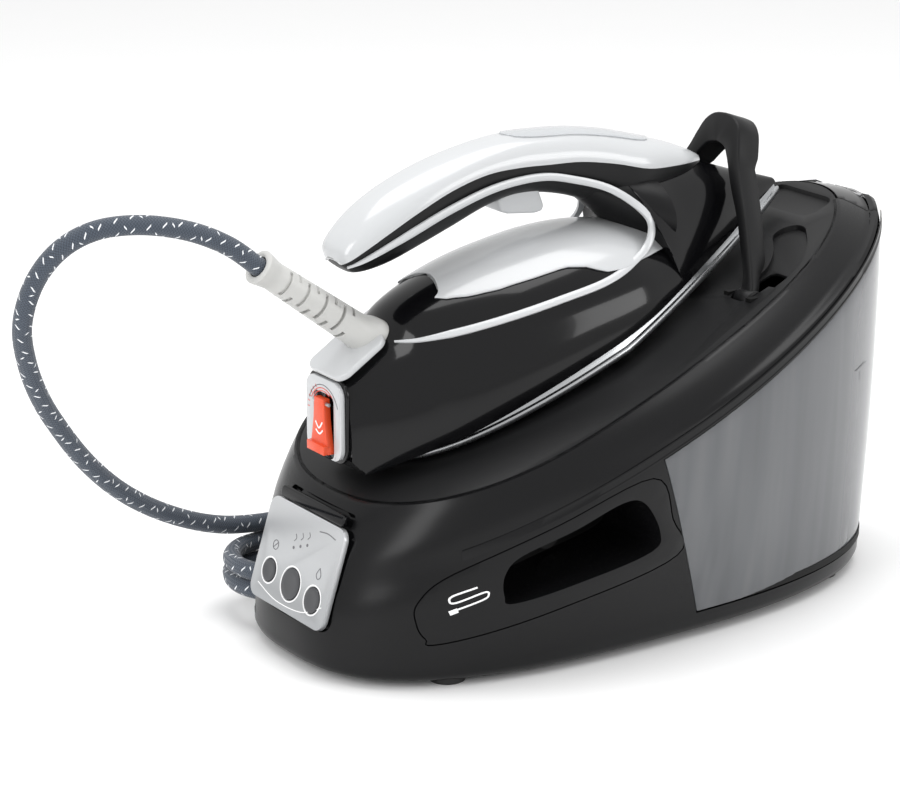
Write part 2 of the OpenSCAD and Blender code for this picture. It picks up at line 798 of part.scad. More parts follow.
module steam_trigger() {
    color("#c4c6c8") iron_frame() difference() {
        translate([0, 8.5, 0]) rotate([90, 0, 0]) linear_extrude(17)
            polygon([[-32, 99], [-32, 91], [-28, 88], [-12, 79], [-6, 78], [-5, 84], [-5, 99]]);
        translate([-27, -6, 94]) cube([17, 12, 8]);
    }
}

module trigger_switch() {
    color("#222222") iron_frame() translate([-27, -5, 103.6]) cube([16, 10, 5.2]);
}

// Side trim: how far round the section it lies along the flank
trim_angles = [[-128, 52], [-100, 38], [-75, 31], [-50, 28], [-25, 30], [0, 36], [22, 45]];

module side_trim() {
    color("#f4f4f5") iron_frame() for (side = [0, 1])
        loft([for (q = low_body) if (q[0] >= -128 && q[0] <= 22)
            let (t = side * 180 + (1 - 2 * side) * lookup(q[0], trim_angles))
            skin(q, t - 1.8, t + 1.8, -1.6, -0.4, 2)]);
}

module heel_plate() {
    color("#f0f0f0") difference() {
        iron_frame() translate([-144, 0, 63.3]) rotate([0, -10.6, 0]) block([34, 36, 3], 6);
        relief_hole();
    }
}

// Heel: the collector's face stands upright at the back of the iron
heel_x = -169.3;
heel_z = 135;
lever_z = 144;
lever_x = heel_x - 5;

module scale_collector() {
    color("#f2f2f2") {
        translate([heel_x, 0, heel_z]) rotate([0, -90, 0]) difference() {
            block([44, 35, 4], 9);
            translate([-3, 0, 2]) block([33, 19, 3], 3);
        }
        for (s = [-1, 1]) translate([heel_x - 6.8, s * 7.4 - 1, lever_z - 2.5]) difference() {
            cube([5, 2, 5]);
            translate([1.4, 0, 2.5]) rotate([90, 0, 0]) cylinder(h = 10, r = 1.01, center = true, $fn = 24);
        }
        difference() {
            iron_frame() translate([-180, 0, 32]) rotate([0, 90, 0]) cylinder(h = 62, r = 8, $fn = 36);
            translate([heel_x - 0.2, -50, 0]) mirror([1, 0, 0]) cube([60, 100, 300]);
        }
    }
}

module collector_seal() {
    color("#7a2c20") iron_frame() translate([-134, 0, 32]) rotate([0, 90, 0]) difference() {
        cylinder(h = 3, r = 10.4, $fn = 36);
        translate([0, 0, -1]) cylinder(h = 5, r = 8.1, $fn = 36);
    }
}

module collector_lever() {
    color("#d8432f") difference() {
        union() {
            translate([lever_x + 1, 0, lever_z]) rotate([0, -90, 0])
                linear_extrude(3.2) polygon([[2.6, -5], [2.6, 5], [-8, 6], [-22, 8.6], [-26, 8.6], [-26, -8.6],
                    [-22, -8.6], [-8, -6]]);
            translate([lever_x - 6, -8.6, lever_z - 28]) cube([7, 17.2, 4]);
        }
        translate([lever_x - 0.4, 0, lever_z]) rotate([90, 0, 0]) cylinder(h = 20, r = 1.05, center = true, $fn = 24);
    }
}

module lever_pin() {
    color("silver") translate([lever_x - 0.4, 0, lever_z]) rotate([90, 0, 0])
        cylinder(h = 16, r = 1, center = true, $fn = 24);
}

// Strain relief: from the heel's top up to the hose
relief_low = [-142, 0, 173];
relief_len = 87;
relief_rise = 36.4;

module relief_frame() {
    translate(relief_low) rotate([0, -90 + relief_rise, 0]) children();
}

module strain_relief() {
    color("#ececea") relief_frame() rotate_extrude($fn = 36)
        polygon([[0, 0], [12, 0], [12, 6], [10, 16], [9, 30], [8, 60], [7.4, 78], [8.4, 84], [8.6, relief_len],
            [0, relief_len]]);
}

// ---- steam hose ----
relief_end = relief_low + relief_len * [-cos(relief_rise), 0, sin(relief_rise)];
// Free loop from the strain relief round to the storage bay, placed by eye
free_loop = [[-229, 2, 238], [-250, 6, 248], [-274, 13, 253], [-295, 22, 251], [-311, 31, 241],
    [-321, 41, 223], [-324, 51, 199], [-318, 60, 175], [-307, 68, 151], [-292, 75, 128],
    [-275, 81, 106], [-255, 86, 86], [-232, 91, 69], [-206, 95, 55], [-181, 97.6, 46]];
fold_len = 2 * (fold_b.x - fold_a.x) + 2 * PI * fold_r;

// Point of the stored hose a distance s along its folds
function fold_pt(s) =
    let (u = s - floor(s / fold_len) * fold_len, run = fold_b.x - fold_a.x, arc = PI * fold_r)
    let (z = fold_top - fold_pitch * s / fold_len)
    u < run ? [fold_a.x + u, fold_a.y + fold_r, z]
    : u < run + arc ? let (t = (u - run) / arc * 180)
        [fold_b.x + fold_r * sin(t), fold_b.y + fold_r * cos(t), z]
    : u < 2 * run + arc ? [fold_b.x - (u - run - arc), fold_b.y - fold_r, z]
    : let (t = (u - 2 * run - arc) / arc * 180)
        [fold_a.x - fold_r * sin(t), fold_a.y - fold_r * cos(t), z];

stored_turns = 2;
stored_steps = 46;
stored_pts = [for (i = [0:stored_steps]) fold_pt(stored_turns * fold_len * i / stored_steps)];
// Last stretch, back to the outlet in the bay's rear wall
last_run = [[-130, 98, 20], [-104, 97.5, 19], [-78, 94.5, 18.5], [-52, 89, 18.5], [-32, 86, 18.5],
    [outlet_x, outlet_y, outlet_z]];
hose_route = concat([relief_end], free_loop, stored_pts, last_run);

function unit(v) = v / norm(v);
function tangent(p, i, first) =
    i == 0 ? first
    : i == len(p) - 1 ? unit(p[i] - p[i - 1])
    : unit(unit(p[i + 1] - p[i]) + unit(p[i] - p[i - 1]));

// Round section across a route at point i, with n sides
function tube_ring(p, i, r, n, first) =
    let (t = tangent(p, i, first), u = unit(cross(t, abs(t.z) > 0.9 ? [0, 1, 0] : [0, 0, 1])), v = cross(t, u))
    [for (k = [0:n - 1]) p[i] + r * (cos(360 * k / n) * u + sin(360 * k / n) * v)];

module steam_hose() {
    color("#4a5666") loft([for (i = [0:len(hose_route) - 1])
        tube_ring(hose_route, i, hose_d / 2, hose_sides, unit(relief_end - relief_low))]);
}

base_plate();
feet();
base_screws();
body_shell();
top_cover();
iron_rest();
rest_pads();
bay_bulkhead();
cord_bay();
mains_gland();
hose_bay();
hose_gland();
control_panel();
panel_strip();
button_board();
power_button();
mode_button();
descale_button();
control_board();
terminal_block();
boiler();
boiler_brackets();
boiler_element();
thermal_cutout();
pump();
pump_mount();
steam_valve();
steam_pipe();
water_tube();
tank_coupling();
water_tank();
tank_roof();
tank_valve();
tank_lid();
lid_pin();
hoop_brackets();
hoop_pins();
lock_hoop();
soleplate();
steam_chamber();
iron_element();
iron_thermostat();
iron_shell();
saddle_panel();
side_trim();
handle_grip();
handle_cover();
indicator_lens();
steam_trigger();
trigger_switch();
heel_plate();
scale_collector();
collector_seal();
collector_lever();
lever_pin();
strain_relief();
steam_hose();
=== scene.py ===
# %% [markdown]
# # A steam generator iron
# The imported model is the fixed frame: every piece below sits where that frame says, in metres.
# Shapes are easier to read in millimetres, so they're built in millimetres and scaled once,
# when a mesh is made.

import math

import bmesh
import bpy
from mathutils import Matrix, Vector


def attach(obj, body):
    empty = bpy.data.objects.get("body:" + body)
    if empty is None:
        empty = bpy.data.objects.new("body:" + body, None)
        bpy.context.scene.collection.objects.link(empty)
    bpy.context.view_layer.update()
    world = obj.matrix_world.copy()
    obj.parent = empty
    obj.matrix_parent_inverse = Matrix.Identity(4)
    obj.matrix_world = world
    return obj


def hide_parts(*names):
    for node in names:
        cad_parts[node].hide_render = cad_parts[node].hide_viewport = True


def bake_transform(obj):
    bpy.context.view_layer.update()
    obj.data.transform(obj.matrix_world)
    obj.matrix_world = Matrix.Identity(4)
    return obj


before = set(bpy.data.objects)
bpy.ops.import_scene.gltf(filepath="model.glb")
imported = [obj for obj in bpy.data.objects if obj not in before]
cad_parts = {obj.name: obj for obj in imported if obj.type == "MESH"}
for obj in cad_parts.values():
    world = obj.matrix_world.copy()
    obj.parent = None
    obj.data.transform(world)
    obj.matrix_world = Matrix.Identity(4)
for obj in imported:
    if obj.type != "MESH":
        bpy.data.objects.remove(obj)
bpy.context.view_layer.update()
MM = 0.001

# %% [markdown]
# The camera stands in front of the panel corner, a little above the iron, with a long lens, so
# that the sides of the base hardly converge.

# %% Camera
camera = bpy.data.objects.new("camera", bpy.data.cameras.new("camera"))
bpy.context.scene.collection.objects.link(camera)
bpy.context.scene.camera = camera
camera.location = Vector((-0.95911, -1.28092, 0.61940))
aim = Vector((-0.082627, 0.012798, 0.125443))
camera.rotation_euler = (aim - camera.location).to_track_quat("-Z", "Y").to_euler()
camera.data.lens = 117.37
camera.data.sensor_width = 36
print("camera looks at", tuple(aim))

# %% [markdown]
# Black plastic shows its form only through what it mirrors, so the light is a bright pale room
# with a few large soft panels: one over the top, one from the left and one low fill at the right.

# %% Light
scene = bpy.context.scene
scene.view_settings.view_transform = "Standard"
world = bpy.data.worlds.new("room")
scene.world = world
world.use_nodes = True
world.node_tree.nodes["Background"].inputs["Color"].default_value = (1, 1, 1, 1)
world.node_tree.nodes["Background"].inputs["Strength"].default_value = 0.9


def soft_panel(name, place, target, size, power):
    """A square area light that faces target."""
    light = bpy.data.lights.new(name, "AREA")
    light.shape = "RECTANGLE"
    light.size, light.size_y = size
    light.energy = power
    holder = bpy.data.objects.new(name, light)
    scene.collection.objects.link(holder)
    holder.location = place
    way = Vector(target) - Vector(place)
    holder.rotation_euler = way.to_track_quat("-Z", "Y").to_euler()
    return holder


soft_panel("top_panel", (0.1, 0.1, 1.6), (0, 0, 0.1), (1.6, 0.9), 16)
soft_panel("left_panel", (-1.5, -0.4, 0.9), (-0.1, 0, 0.12), (0.5, 1.2), 9)
soft_panel("right_panel", (1.1, -1.5, 0.7), (0.1, 0, 0.1), (0.9, 0.6), 7)
print("lights", len(bpy.data.lights))

# %% [markdown]
# Every finish starts from one helper: the Principled shader with fine noise in its colour and
# roughness and a small bump, so that no surface is a single flat value.

# %% How a finish is made
def set_inputs(shader_node, values):
    """Sets several sockets of a node by name."""
    for socket, value in values.items():
        shader_node.inputs[socket].default_value = value


def link(tree, source, target):
    """Joins two sockets."""
    tree.links.new(source, target)


def finish(name, colour, roughness, grain=900, bump=0.04, spread=0.12, sockets=None):
    """A moulded or metal finish: colour and roughness vary a little with the grain."""
    made = bpy.data.materials.new(name)
    made.use_nodes = True
    tree = made.node_tree
    shader = tree.nodes["Principled BSDF"]
    place = tree.nodes.new("ShaderNodeTexCoord")
    noise = tree.nodes.new("ShaderNodeTexNoise")
    set_inputs(noise, {"Scale": grain, "Detail": 3.0, "Roughness": 0.6})
    link(tree, place.outputs["Object"], noise.inputs["Vector"])
    cloud = tree.nodes.new("ShaderNodeTexNoise")
    set_inputs(cloud, {"Scale": 14.0, "Detail": 2.0})
    link(tree, place.outputs["Object"], cloud.inputs["Vector"])
    tone = tree.nodes.new("ShaderNodeMapRange")
    set_inputs(tone, {"To Min": 1 - spread, "To Max": 1 + spread})
    link(tree, cloud.outputs["Fac"], tone.inputs["Value"])
    paint = tree.nodes.new("ShaderNodeVectorMath")
    paint.operation = "SCALE"
    paint.inputs[0].default_value = colour
    link(tree, tone.outputs["Result"], paint.inputs["Scale"])
    link(tree, paint.outputs["Vector"], shader.inputs["Base Color"])
    dull = tree.nodes.new("ShaderNodeMapRange")
    set_inputs(dull, {"To Min": roughness * 0.85, "To Max": min(1.0, roughness * 1.15)})
    link(tree, noise.outputs["Fac"], dull.inputs["Value"])
    link(tree, dull.outputs["Result"], shader.inputs["Roughness"])
    dents = tree.nodes.new("ShaderNodeBump")
    set_inputs(dents, {"Strength": bump, "Distance": 0.0004})
    link(tree, noise.outputs["Fac"], dents.inputs["Height"])
    link(tree, dents.outputs["Normal"], shader.inputs["Normal"])
    set_inputs(shader, sockets or {})
    return made


print("materials so far", len(bpy.data.materials))

# %% [markdown]
# The object's own finishes: satin, gloss and soft-touch blacks, pearl white, red, printing inks,
# and the metals and parts inside. The blacks mirror less than usual, so they stay dark in a bright
# room, and the whites are kept under full white, so their shading still shows.

# %% Finishes
DULL_GLANCE = {"Specular IOR Level": 0.22}
satin_black = finish("satin_black", (0.0045, 0.0045, 0.005), 0.26, 1500, 0.03, sockets=DULL_GLANCE)
rest_black = finish("rest_black", (0.006, 0.006, 0.0065), 0.40, 2200, 0.08, sockets=DULL_GLANCE)
piano_black = finish("piano_black", (0.003, 0.003, 0.0035), 0.12, 300, 0.004,
                     sockets={"Specular IOR Level": 0.18, "Coat Weight": 0.22, "Coat Roughness": 0.04})
deep_black = finish("deep_black", (0.003, 0.003, 0.003), 0.6, 1500, 0.10, sockets=DULL_GLANCE)
grip_black = finish("grip_black", (0.0045, 0.0045, 0.005), 0.40, 2600, 0.10, sockets=DULL_GLANCE)
hoop_black = finish("hoop_black", (0.0055, 0.0055, 0.006), 0.44, 2200, 0.10, sockets=DULL_GLANCE)
pearl_white = finish("pearl_white", (0.50, 0.51, 0.52), 0.20, 500, 0.006, 0.02,
                     sockets={"Coat Weight": 0.4, "Coat Roughness": 0.08})
relief_white = finish("relief_white", (0.50, 0.50, 0.485), 0.38, 1400, 0.05, 0.03)
pale_grey = finish("pale_grey", (0.46, 0.47, 0.48), 0.30, 900, 0.02, 0.03)
button_grey = finish("button_grey", (0.045, 0.046, 0.050), 0.40, 1800, 0.06)
print_white = finish("print_white", (0.85, 0.85, 0.85), 0.45, 1500, 0.02, 0.02)
print_grey = finish("print_grey", (0.14, 0.14, 0.15), 0.5, 1500, 0.02, 0.03)
print_red = finish("print_red", (0.62, 0.05, 0.03), 0.4, 1500, 0.02, 0.05)
signal_red = finish("signal_red", (0.72, 0.075, 0.022), 0.26, 900, 0.02, 0.06)
rubber = finish("rubber", (0.012, 0.012, 0.012), 0.62, 2400, 0.15)
floor_white = finish("floor_white", (0.93, 0.93, 0.93), 0.6, 60, 0.01, 0.004)
steel = finish("steel", (0.52, 0.52, 0.53), 0.32, 700, 0.05, 0.06, sockets={"Metallic": 1.0})
brass = finish("brass", (0.62, 0.44, 0.17), 0.30, 700, 0.05, 0.08, sockets={"Metallic": 1.0})
green_board = finish("green_board", (0.02, 0.13, 0.06), 0.4, 700, 0.08, 0.2)
ivory = finish("ivory", (0.66, 0.62, 0.52), 0.5, 900, 0.05, 0.05)
red_silicone = finish("red_silicone", (0.30, 0.05, 0.04), 0.5, 1200, 0.05, 0.08)
print("finishes", len(bpy.data.materials))

# %% [markdown]
# Moulded plastic is smooth, with crisp edges where two faces meet at an angle. Points could be
# typed into a mesh directly, but one helper that takes millimetres, merges doubled points, turns
# the normals outward and marks the sharp edges keeps every later cell short.

# %% From points to a piece
def make_piece(name, points, faces, material, sharp=35):
    """A mesh piece from millimetre points, with edges sharper than the angle left crisp."""
    shape = bpy.data.meshes.new(name)
    work = bmesh.new()
    spots = [work.verts.new(Vector(p) * MM) for p in points]
    for face in faces:
        if len({tuple(spots[i].co) for i in face}) > 2:
            try:
                work.faces.new([spots[i] for i in face])
            except ValueError:
                continue
    bmesh.ops.remove_doubles(work, verts=work.verts, dist=1e-6)
    bmesh.ops.recalc_face_normals(work, faces=work.faces)
    work.to_mesh(shape)
    work.free()
    piece = bpy.data.objects.new(name, shape)
    scene.collection.objects.link(piece)
    shape.materials.append(material)
    crisp(piece, sharp)
    return piece


def crisp(piece, sharp=35):
    """Smooth shading with sharp edges over the given angle."""
    work = bmesh.new()
    work.from_mesh(piece.data)
    for face in work.faces:
        face.smooth = True
    for edge in work.edges:
        angled = edge.calc_face_angle(0) > math.radians(sharp)
        edge.smooth = not (len(edge.link_faces) == 2 and angled)
    work.to_mesh(piece.data)
    work.free()


print("edges sharper than 35 degrees stay crisp")

# %% [markdown]
# Nearly every shape here is a loft: rings of points joined by quads, as a boat's hull is planked
# over its frames. It could be sculpted or subdivided from a cage instead, but a loft keeps each
# section where the maker's drawing has it.

# %% Lofts


def loft_faces(count, around, capped=True, closed=True):
    """Faces between rings, with or without end caps and a closed round."""
    faces = []
    for k in range(count - 1):
        for i in range(around if closed else around - 1):
            j = (i + 1) % around
            n = k + 1
            faces.append((k * around + i, k * around + j, n * around + j, n * around + i))
    if capped:
        faces.append(tuple(range(around - 1, -1, -1)))
        faces.append(tuple(range((count - 1) * around, count * around)))
    return faces


def loft(name, rings, material, capped=True, closed=True, sharp=35):
    """A piece through rings of equal length."""
    points = [p for ring in rings for p in ring]
    faces = loft_faces(len(rings), len(rings[0]), capped, closed)
    return make_piece(name, points, faces, material, sharp)


def whole_turn(steps):
    """Even angles once round."""
    return [2 * math.pi * i / steps for i in range(steps)]


print("faces of a tube with 3 rings of 8:", len(loft_faces(3, 8)))

# %% [markdown]
# Openings are cut as a mould maker parts a block: one solid is taken from another. Real edges are
# never quite sharp, so a small bevel follows, and both modifiers are applied at once.

# %% Cutting and softening
def apply_modifiers(piece):
    """Keeps what the modifiers make as the piece's own mesh."""
    shown = piece.evaluated_get(bpy.context.evaluated_depsgraph_get())
    made = bpy.data.meshes.new_from_object(shown)
    piece.modifiers.clear()
    piece.data = made


def cut(piece, tool, how="DIFFERENCE"):
    """Cuts piece with tool, keeps what they share, or joins them."""
    knife = piece.modifiers.new("cut", "BOOLEAN")
    knife.operation = how
    knife.solver = "EXACT"
    knife.object = tool
    apply_modifiers(piece)
    bpy.data.objects.remove(tool)
    return piece


def soften(piece, width=0.5, angle=40, steps=2):
    """Rounds sharp edges by a small bevel."""
    edge = piece.modifiers.new("edge", "BEVEL")
    edge.width = width * MM
    edge.segments = steps
    edge.limit_method = "ANGLE"
    edge.angle_limit = math.radians(angle)
    apply_modifiers(piece)
    crisp(piece, 50)
    return piece


print("cuts are exact, bevels are applied")

# %% [markdown]
# Flat pieces and cutting tools start as an outline that is made thick. A turning function places
# the outline: seen from above, on the leaning panel, or in the iron's own directions.

# %% Outlines and prisms
def prism(name, outline, low, high, turn, material):
    """A flat outline in (a, b) made thick; turn maps (a, b, height) to a point."""
    points = [turn(a, b, low) for a, b in outline] + [turn(a, b, high) for a, b in outline]
    return make_piece(name, points, loft_faces(2, len(outline)), material)


def from_above(a, b, h):
    """The turn of an outline that is drawn in plan."""
    return (a, b, h)


def rounded_outline(width, height, radius):
    """Points round a rectangle with round corners."""
    steps = 8
    points = []
    for corner, (sx, sy) in enumerate(((1, 1), (-1, 1), (-1, -1), (1, -1))):
        for k in range(steps + 1):
            a = math.radians(90 * (corner + k / steps))
            points.append((sx * (width / 2 - radius) + radius * math.cos(a),
                           sy * (height / 2 - radius) + radius * math.sin(a)))
    return points


def smooth_line(stops, steps=8):
    """A smooth curve through points of any dimension (Catmull-Rom)."""
    stops = [tuple(s) for s in stops]
    padded = [stops[0]] + stops + [stops[-1]]
    line = []
    for k in range(len(stops) - 1):
        p0, p1, p2, p3 = padded[k:k + 4]
        for i in range(steps):
            t = i / steps
            line.append(tuple(
                0.5 * (2 * b + (c - a) * t + (2 * a - 5 * b + 4 * c - d) * t * t
                       + (3 * b - a - 3 * c + d) * t ** 3)
                for a, b, c, d in zip(p0, p1, p2, p3)))
    return line + [stops[-1]]


print("corner points", len(rounded_outline(10, 6, 2)))

# %% [markdown]
# The hose needs a round section carried along a curve without twisting. Each ring takes over the
# side direction of the one before it, which keeps the braid's spirals even.

# %% Tubes and the floor
def tube(name, line, radius, sides, material):
    """A round tube along a line of points."""
    rings = []
    spots = [Vector(p) for p in line]
    side = None
    for k, spot in enumerate(spots):
        way = (spots[min(k + 1, len(spots) - 1)] - spots[max(k - 1, 0)]).normalized()
        if side is None:
            level = Vector((0, 0, 1)) if abs(way.z) < 0.9 else Vector((0, 1, 0))
            side = way.cross(level).normalized()
        side = (side - way * side.dot(way)).normalized()
        up = way.cross(side)
        rings.append([spot + radius * (math.cos(a) * side + math.sin(a) * up)
                      for a in whole_turn(sides)])
    return loft(name, rings, material)


FLOOR_REACH = 6000
floor = make_piece("floor", [(a * FLOOR_REACH, b * FLOOR_REACH, 0)
                             for a, b in ((-1, -1), (1, -1), (1, 1), (-1, 1))],
                   [(0, 1, 2, 3)], floor_white)
print("floor ready")

# %% [markdown]
# The hose is a rubber tube in a tight textile braid: dark slate yarn with pale marker yarns that
# surface in short flecks along two spirals. It leaves the iron's strain relief, hangs in a wide
# free loop and goes into the bay on the far side, where its spare length lies in two flat turns.
# The route repeats the working model's own points; the mesh tube follows one smooth curve
# through them, and each face corner keeps its place round and along the hose for the braid.

# %% Steam hose
HOSE_D = 10.5
relief_low = Vector((-142, 0, 173))
relief_len = 87
relief_rise = math.radians(36.4)
relief_way = Vector((-math.cos(relief_rise), 0, math.sin(relief_rise)))
relief_end = relief_low + relief_way * relief_len
free_loop = [(-229, 2, 238), (-250, 6, 248), (-274, 13, 253), (-295, 22, 251), (-311, 31, 241),
             (-321, 41, 223), (-324, 51, 199), (-318, 60, 175), (-307, 68, 151), (-292, 75, 128),
             (-275, 81, 106), (-255, 86, 86), (-232, 91, 69), (-206, 95, 55), (-181, 97.6, 46)]
FOLD_A, FOLD_B, FOLD_R = (-156.4, 64), (-54, 64), 34
FOLD_TOP, FOLD_PITCH, FOLD_TURNS = 42.4, 10.7, 2
last_run = [(-130, 98, 20), (-104, 97.5, 19), (-78, 94.5, 18.5), (-52, 89, 18.5), (-32, 86, 18.5),
            (-15.6, 86, 18.5)]


def folded_point(s):
    """Place of the stored hose after a length s of its folds."""
    run, arc = FOLD_B[0] - FOLD_A[0], math.pi * FOLD_R
    whole = 2 * (run + arc)
    z = FOLD_TOP - FOLD_PITCH * s / whole
    u = s % whole
    if u < run:
        return (FOLD_A[0] + u, FOLD_A[1] + FOLD_R, z)
    if u < run + arc:
        t = (u - run) / FOLD_R
        return (FOLD_B[0] + FOLD_R * math.sin(t), FOLD_B[1] + FOLD_R * math.cos(t), z)
    if u < 2 * run + arc:
        return (FOLD_B[0] - (u - run - arc), FOLD_B[1] - FOLD_R, z)
    t = (u - 2 * run - arc) / FOLD_R
    return (FOLD_A[0] - FOLD_R * math.sin(t), FOLD_A[1] - FOLD_R * math.cos(t), z)


fold_len = 2 * (FOLD_B[0] - FOLD_A[0]) + 2 * math.pi * FOLD_R
fold_steps = 46
stored = [folded_point(FOLD_TURNS * fold_len * k / fold_steps) for k in range(fold_steps)]
hose_stops = [tuple(relief_end - relief_way * 6), tuple(relief_end)] + free_loop + stored + last_run
hose_line = smooth_line(hose_stops, 9)
walked = [0.0]
for a, b in zip(hose_line, hose_line[1:]):
    walked.append(walked[-1] + (Vector(b) - Vector(a)).length)
HOSE_SIDES = 28
hose = tube("braided_hose", hose_line, HOSE_D / 2, HOSE_SIDES, rubber)


def braid_places(piece, sides, lengths):
    """Stores (turn share, length in mm) on each face corner of a tube."""
    mesh = piece.data
    place = mesh.attributes.new("braid_place", "FLOAT_VECTOR", "CORNER")
    for face in mesh.polygons:
        around = [v % sides for v in face.vertices]
        wraps = max(around) - min(around) > sides / 2
        for corner, v in zip(face.loop_indices, face.vertices):
            turn_at = v % sides
            if wraps and turn_at < sides / 2:
                turn_at += sides
            length_at = lengths[min(v // sides, len(lengths) - 1)]
            place.data[corner].vector = (turn_at / sides, length_at, 0)


braid_places(hose, HOSE_SIDES, walked)
print("hose length mm", round(walked[-1]))

# %% [markdown]
# The braid is drawn from those places. Two families of yarns run in opposite spirals; where a
# sine of one family is high it lies on top. Every few yarns one marker yarn is pale, and only
# its upper crossings show, which makes the rows of short flecks.

# %% Braid finish
def braid_finish():
    """Slate braid with pale flecks in rows."""
    made = bpy.data.materials.new("slate_braid")
    made.use_nodes = True
    tree = made.node_tree
    shader = tree.nodes["Principled BSDF"]
    place = tree.nodes.new("ShaderNodeAttribute")
    place.attribute_name = "braid_place"
    split = tree.nodes.new("ShaderNodeSeparateXYZ")
    link(tree, place.outputs["Vector"], split.inputs["Vector"])

    def math_node(kind, a, b=None, c=None):
        """One step of arithmetic on numbers or sockets."""
        step = tree.nodes.new("ShaderNodeMath")
        step.operation = kind
        for socket, value in zip(step.inputs, (a, b, c)):
            if value is None:
                continue
            if isinstance(value, (int, float)):
                socket.default_value = value
            else:
                link(tree, value, socket)
        return step.outputs[0]

    turn_share, length = split.outputs["X"], split.outputs["Y"]
    yarns = 16
    pitch = 26.0
    along = math_node("DIVIDE", length, pitch)
    right = math_node("MULTIPLY", math_node("ADD", turn_share, along), yarns)
    left = math_node("MULTIPLY", math_node("SUBTRACT", turn_share, along), yarns)
    wave_r = math_node("ABSOLUTE", math_node("SINE", math_node("MULTIPLY", right, math.pi)))
    wave_l = math_node("ABSOLUTE", math_node("SINE", math_node("MULTIPLY", left, math.pi)))
    crossing = math_node("ADD", math_node("FLOOR", right), math_node("FLOOR", left))
    over = math_node("PINGPONG", crossing, 1.0)
    under = math_node("SUBTRACT", 1.0, over)
    top_r = math_node("MULTIPLY", wave_r, math_node("MULTIPLY_ADD", over, 0.6, 0.4))
    top_l = math_node("MULTIPLY", wave_l, math_node("MULTIPLY_ADD", under, 0.6, 0.4))
    height = math_node("MAXIMUM", top_r, top_l)

    def marker(yarn_at, every, first, wave, phase, period, share):
        """Flecks of one pale yarn in every few, seen for a share of each period."""
        count = math_node("FLOORED_MODULO", math_node("FLOOR", yarn_at), every)
        on_yarn = math_node("COMPARE", count, first, 0.2)
        beat = math_node("FRACT", math_node("ADD", math_node("DIVIDE", length, period), phase))
        seen = math_node("LESS_THAN", beat, share)
        thick = math_node("GREATER_THAN", wave, 0.62)
        return math_node("MULTIPLY", math_node("MULTIPLY", on_yarn, seen), thick)

    long_flecks = marker(right, 4.0, 0.0, wave_r, 0.0, 8.0, 0.26)
    short_flecks = marker(left, 8.0, 3.0, wave_l, 0.5, 8.0, 0.16)
    flecks = math_node("MAXIMUM", long_flecks, short_flecks)
    fibre = tree.nodes.new("ShaderNodeTexNoise")
    set_inputs(fibre, {"Scale": 1900.0, "Detail": 3.0})
    where = tree.nodes.new("ShaderNodeTexCoord")
    link(tree, where.outputs["Object"], fibre.inputs["Vector"])
    yarn = tree.nodes.new("ShaderNodeMix")
    yarn.data_type = "RGBA"
    yarn.inputs["A"].default_value = (0.014, 0.019, 0.030, 1)
    yarn.inputs["B"].default_value = (0.062, 0.080, 0.108, 1)
    shade = math_node("MULTIPLY", height, math_node("MULTIPLY_ADD", fibre.outputs["Fac"], 0.6, 0.65))
    link(tree, shade, yarn.inputs["Factor"])
    coloured = tree.nodes.new("ShaderNodeMix")
    coloured.data_type = "RGBA"
    coloured.inputs["B"].default_value = (0.78, 0.80, 0.83, 1)
    link(tree, yarn.outputs["Result"], coloured.inputs["A"])
    link(tree, flecks, coloured.inputs["Factor"])
    link(tree, coloured.outputs["Result"], shader.inputs["Base Color"])
    bumps = tree.nodes.new("ShaderNodeBump")
    set_inputs(bumps, {"Strength": 0.6, "Distance": 0.0005})
    link(tree, height, bumps.inputs["Height"])
    link(tree, bumps.outputs["Normal"], shader.inputs["Normal"])
    set_inputs(shader, {"Roughness": 0.78, "Sheen Weight": 0.25, "Sheen Roughness": 0.5})
    return made


hose.data.materials[0] = braid_finish()
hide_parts("steam_hose")
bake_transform(hose)

# %% [markdown]
# The base is two mouldings that meet at the rim: the body below and the cover above. Both follow
# the same surface, so it's written once: three squarish ovals (floor, rim and the seam round the
# rest) with soft levels between them. Every housing piece is cut from that surface, which keeps
# the tank flush with its neighbours.

# %% Surface of the base
FLOOR_LINE = (-200.2, 184.2, 100.5, 2.79, 2.44, -5.5)
RIM_LINE = (-195.8, 200.2, 116.5, 2.2, 1.88, -5.5)
SEAM_LINE = (-171.8, 171.8, 100.5, 2.33, 2.02, -60.5)
RIM_AT, RIM_RISE = 129.8, 0.404
SEAM_AT, SEAM_RISE = 155.9, 0.362
BASE_AROUND = 144


def oval_point(line, angle, grow=0.0):
    """One point of a squarish oval, as in the working model."""
    front, rear, half, n_front, n_rear, widest = line
    c, s = math.cos(angle), math.sin(angle)
    reach = widest - front + grow if c < 0 else rear - widest + grow
    n = n_front if c < 0 else n_rear
    return (widest + math.copysign(abs(c) ** (2 / n), c) * reach,
            math.copysign(abs(s) ** (2 / n), s) * (half + grow))


def sloping_ring(line, at, rise, grow=0.0):
    """A level of the base on a sloping plane."""
    spots = [oval_point(line, t, grow) for t in whole_turn(BASE_AROUND)]
    return [(x, y, at + rise * x) for x, y in spots]


def mixed_ring(low, high, share, bulge):
    """A level between two others, pushed out a little."""
    out = []
    for a, b in zip(low, high):
        x, y, z = (p + (q - p) * share for p, q in zip(a, b))
        far = math.hypot(x + 5, y)
        out.append((x + (x + 5) / far * bulge, y + y / far * bulge, z))
    return out


print("points on a level", len(sloping_ring(RIM_LINE, RIM_AT, RIM_RISE)))

# %% [markdown]
# The levels are joined by smooth columns, and the form can be asked for smaller or larger. A
# smaller one taken out of a larger one leaves a wall of even thickness, as in a moulded shell.

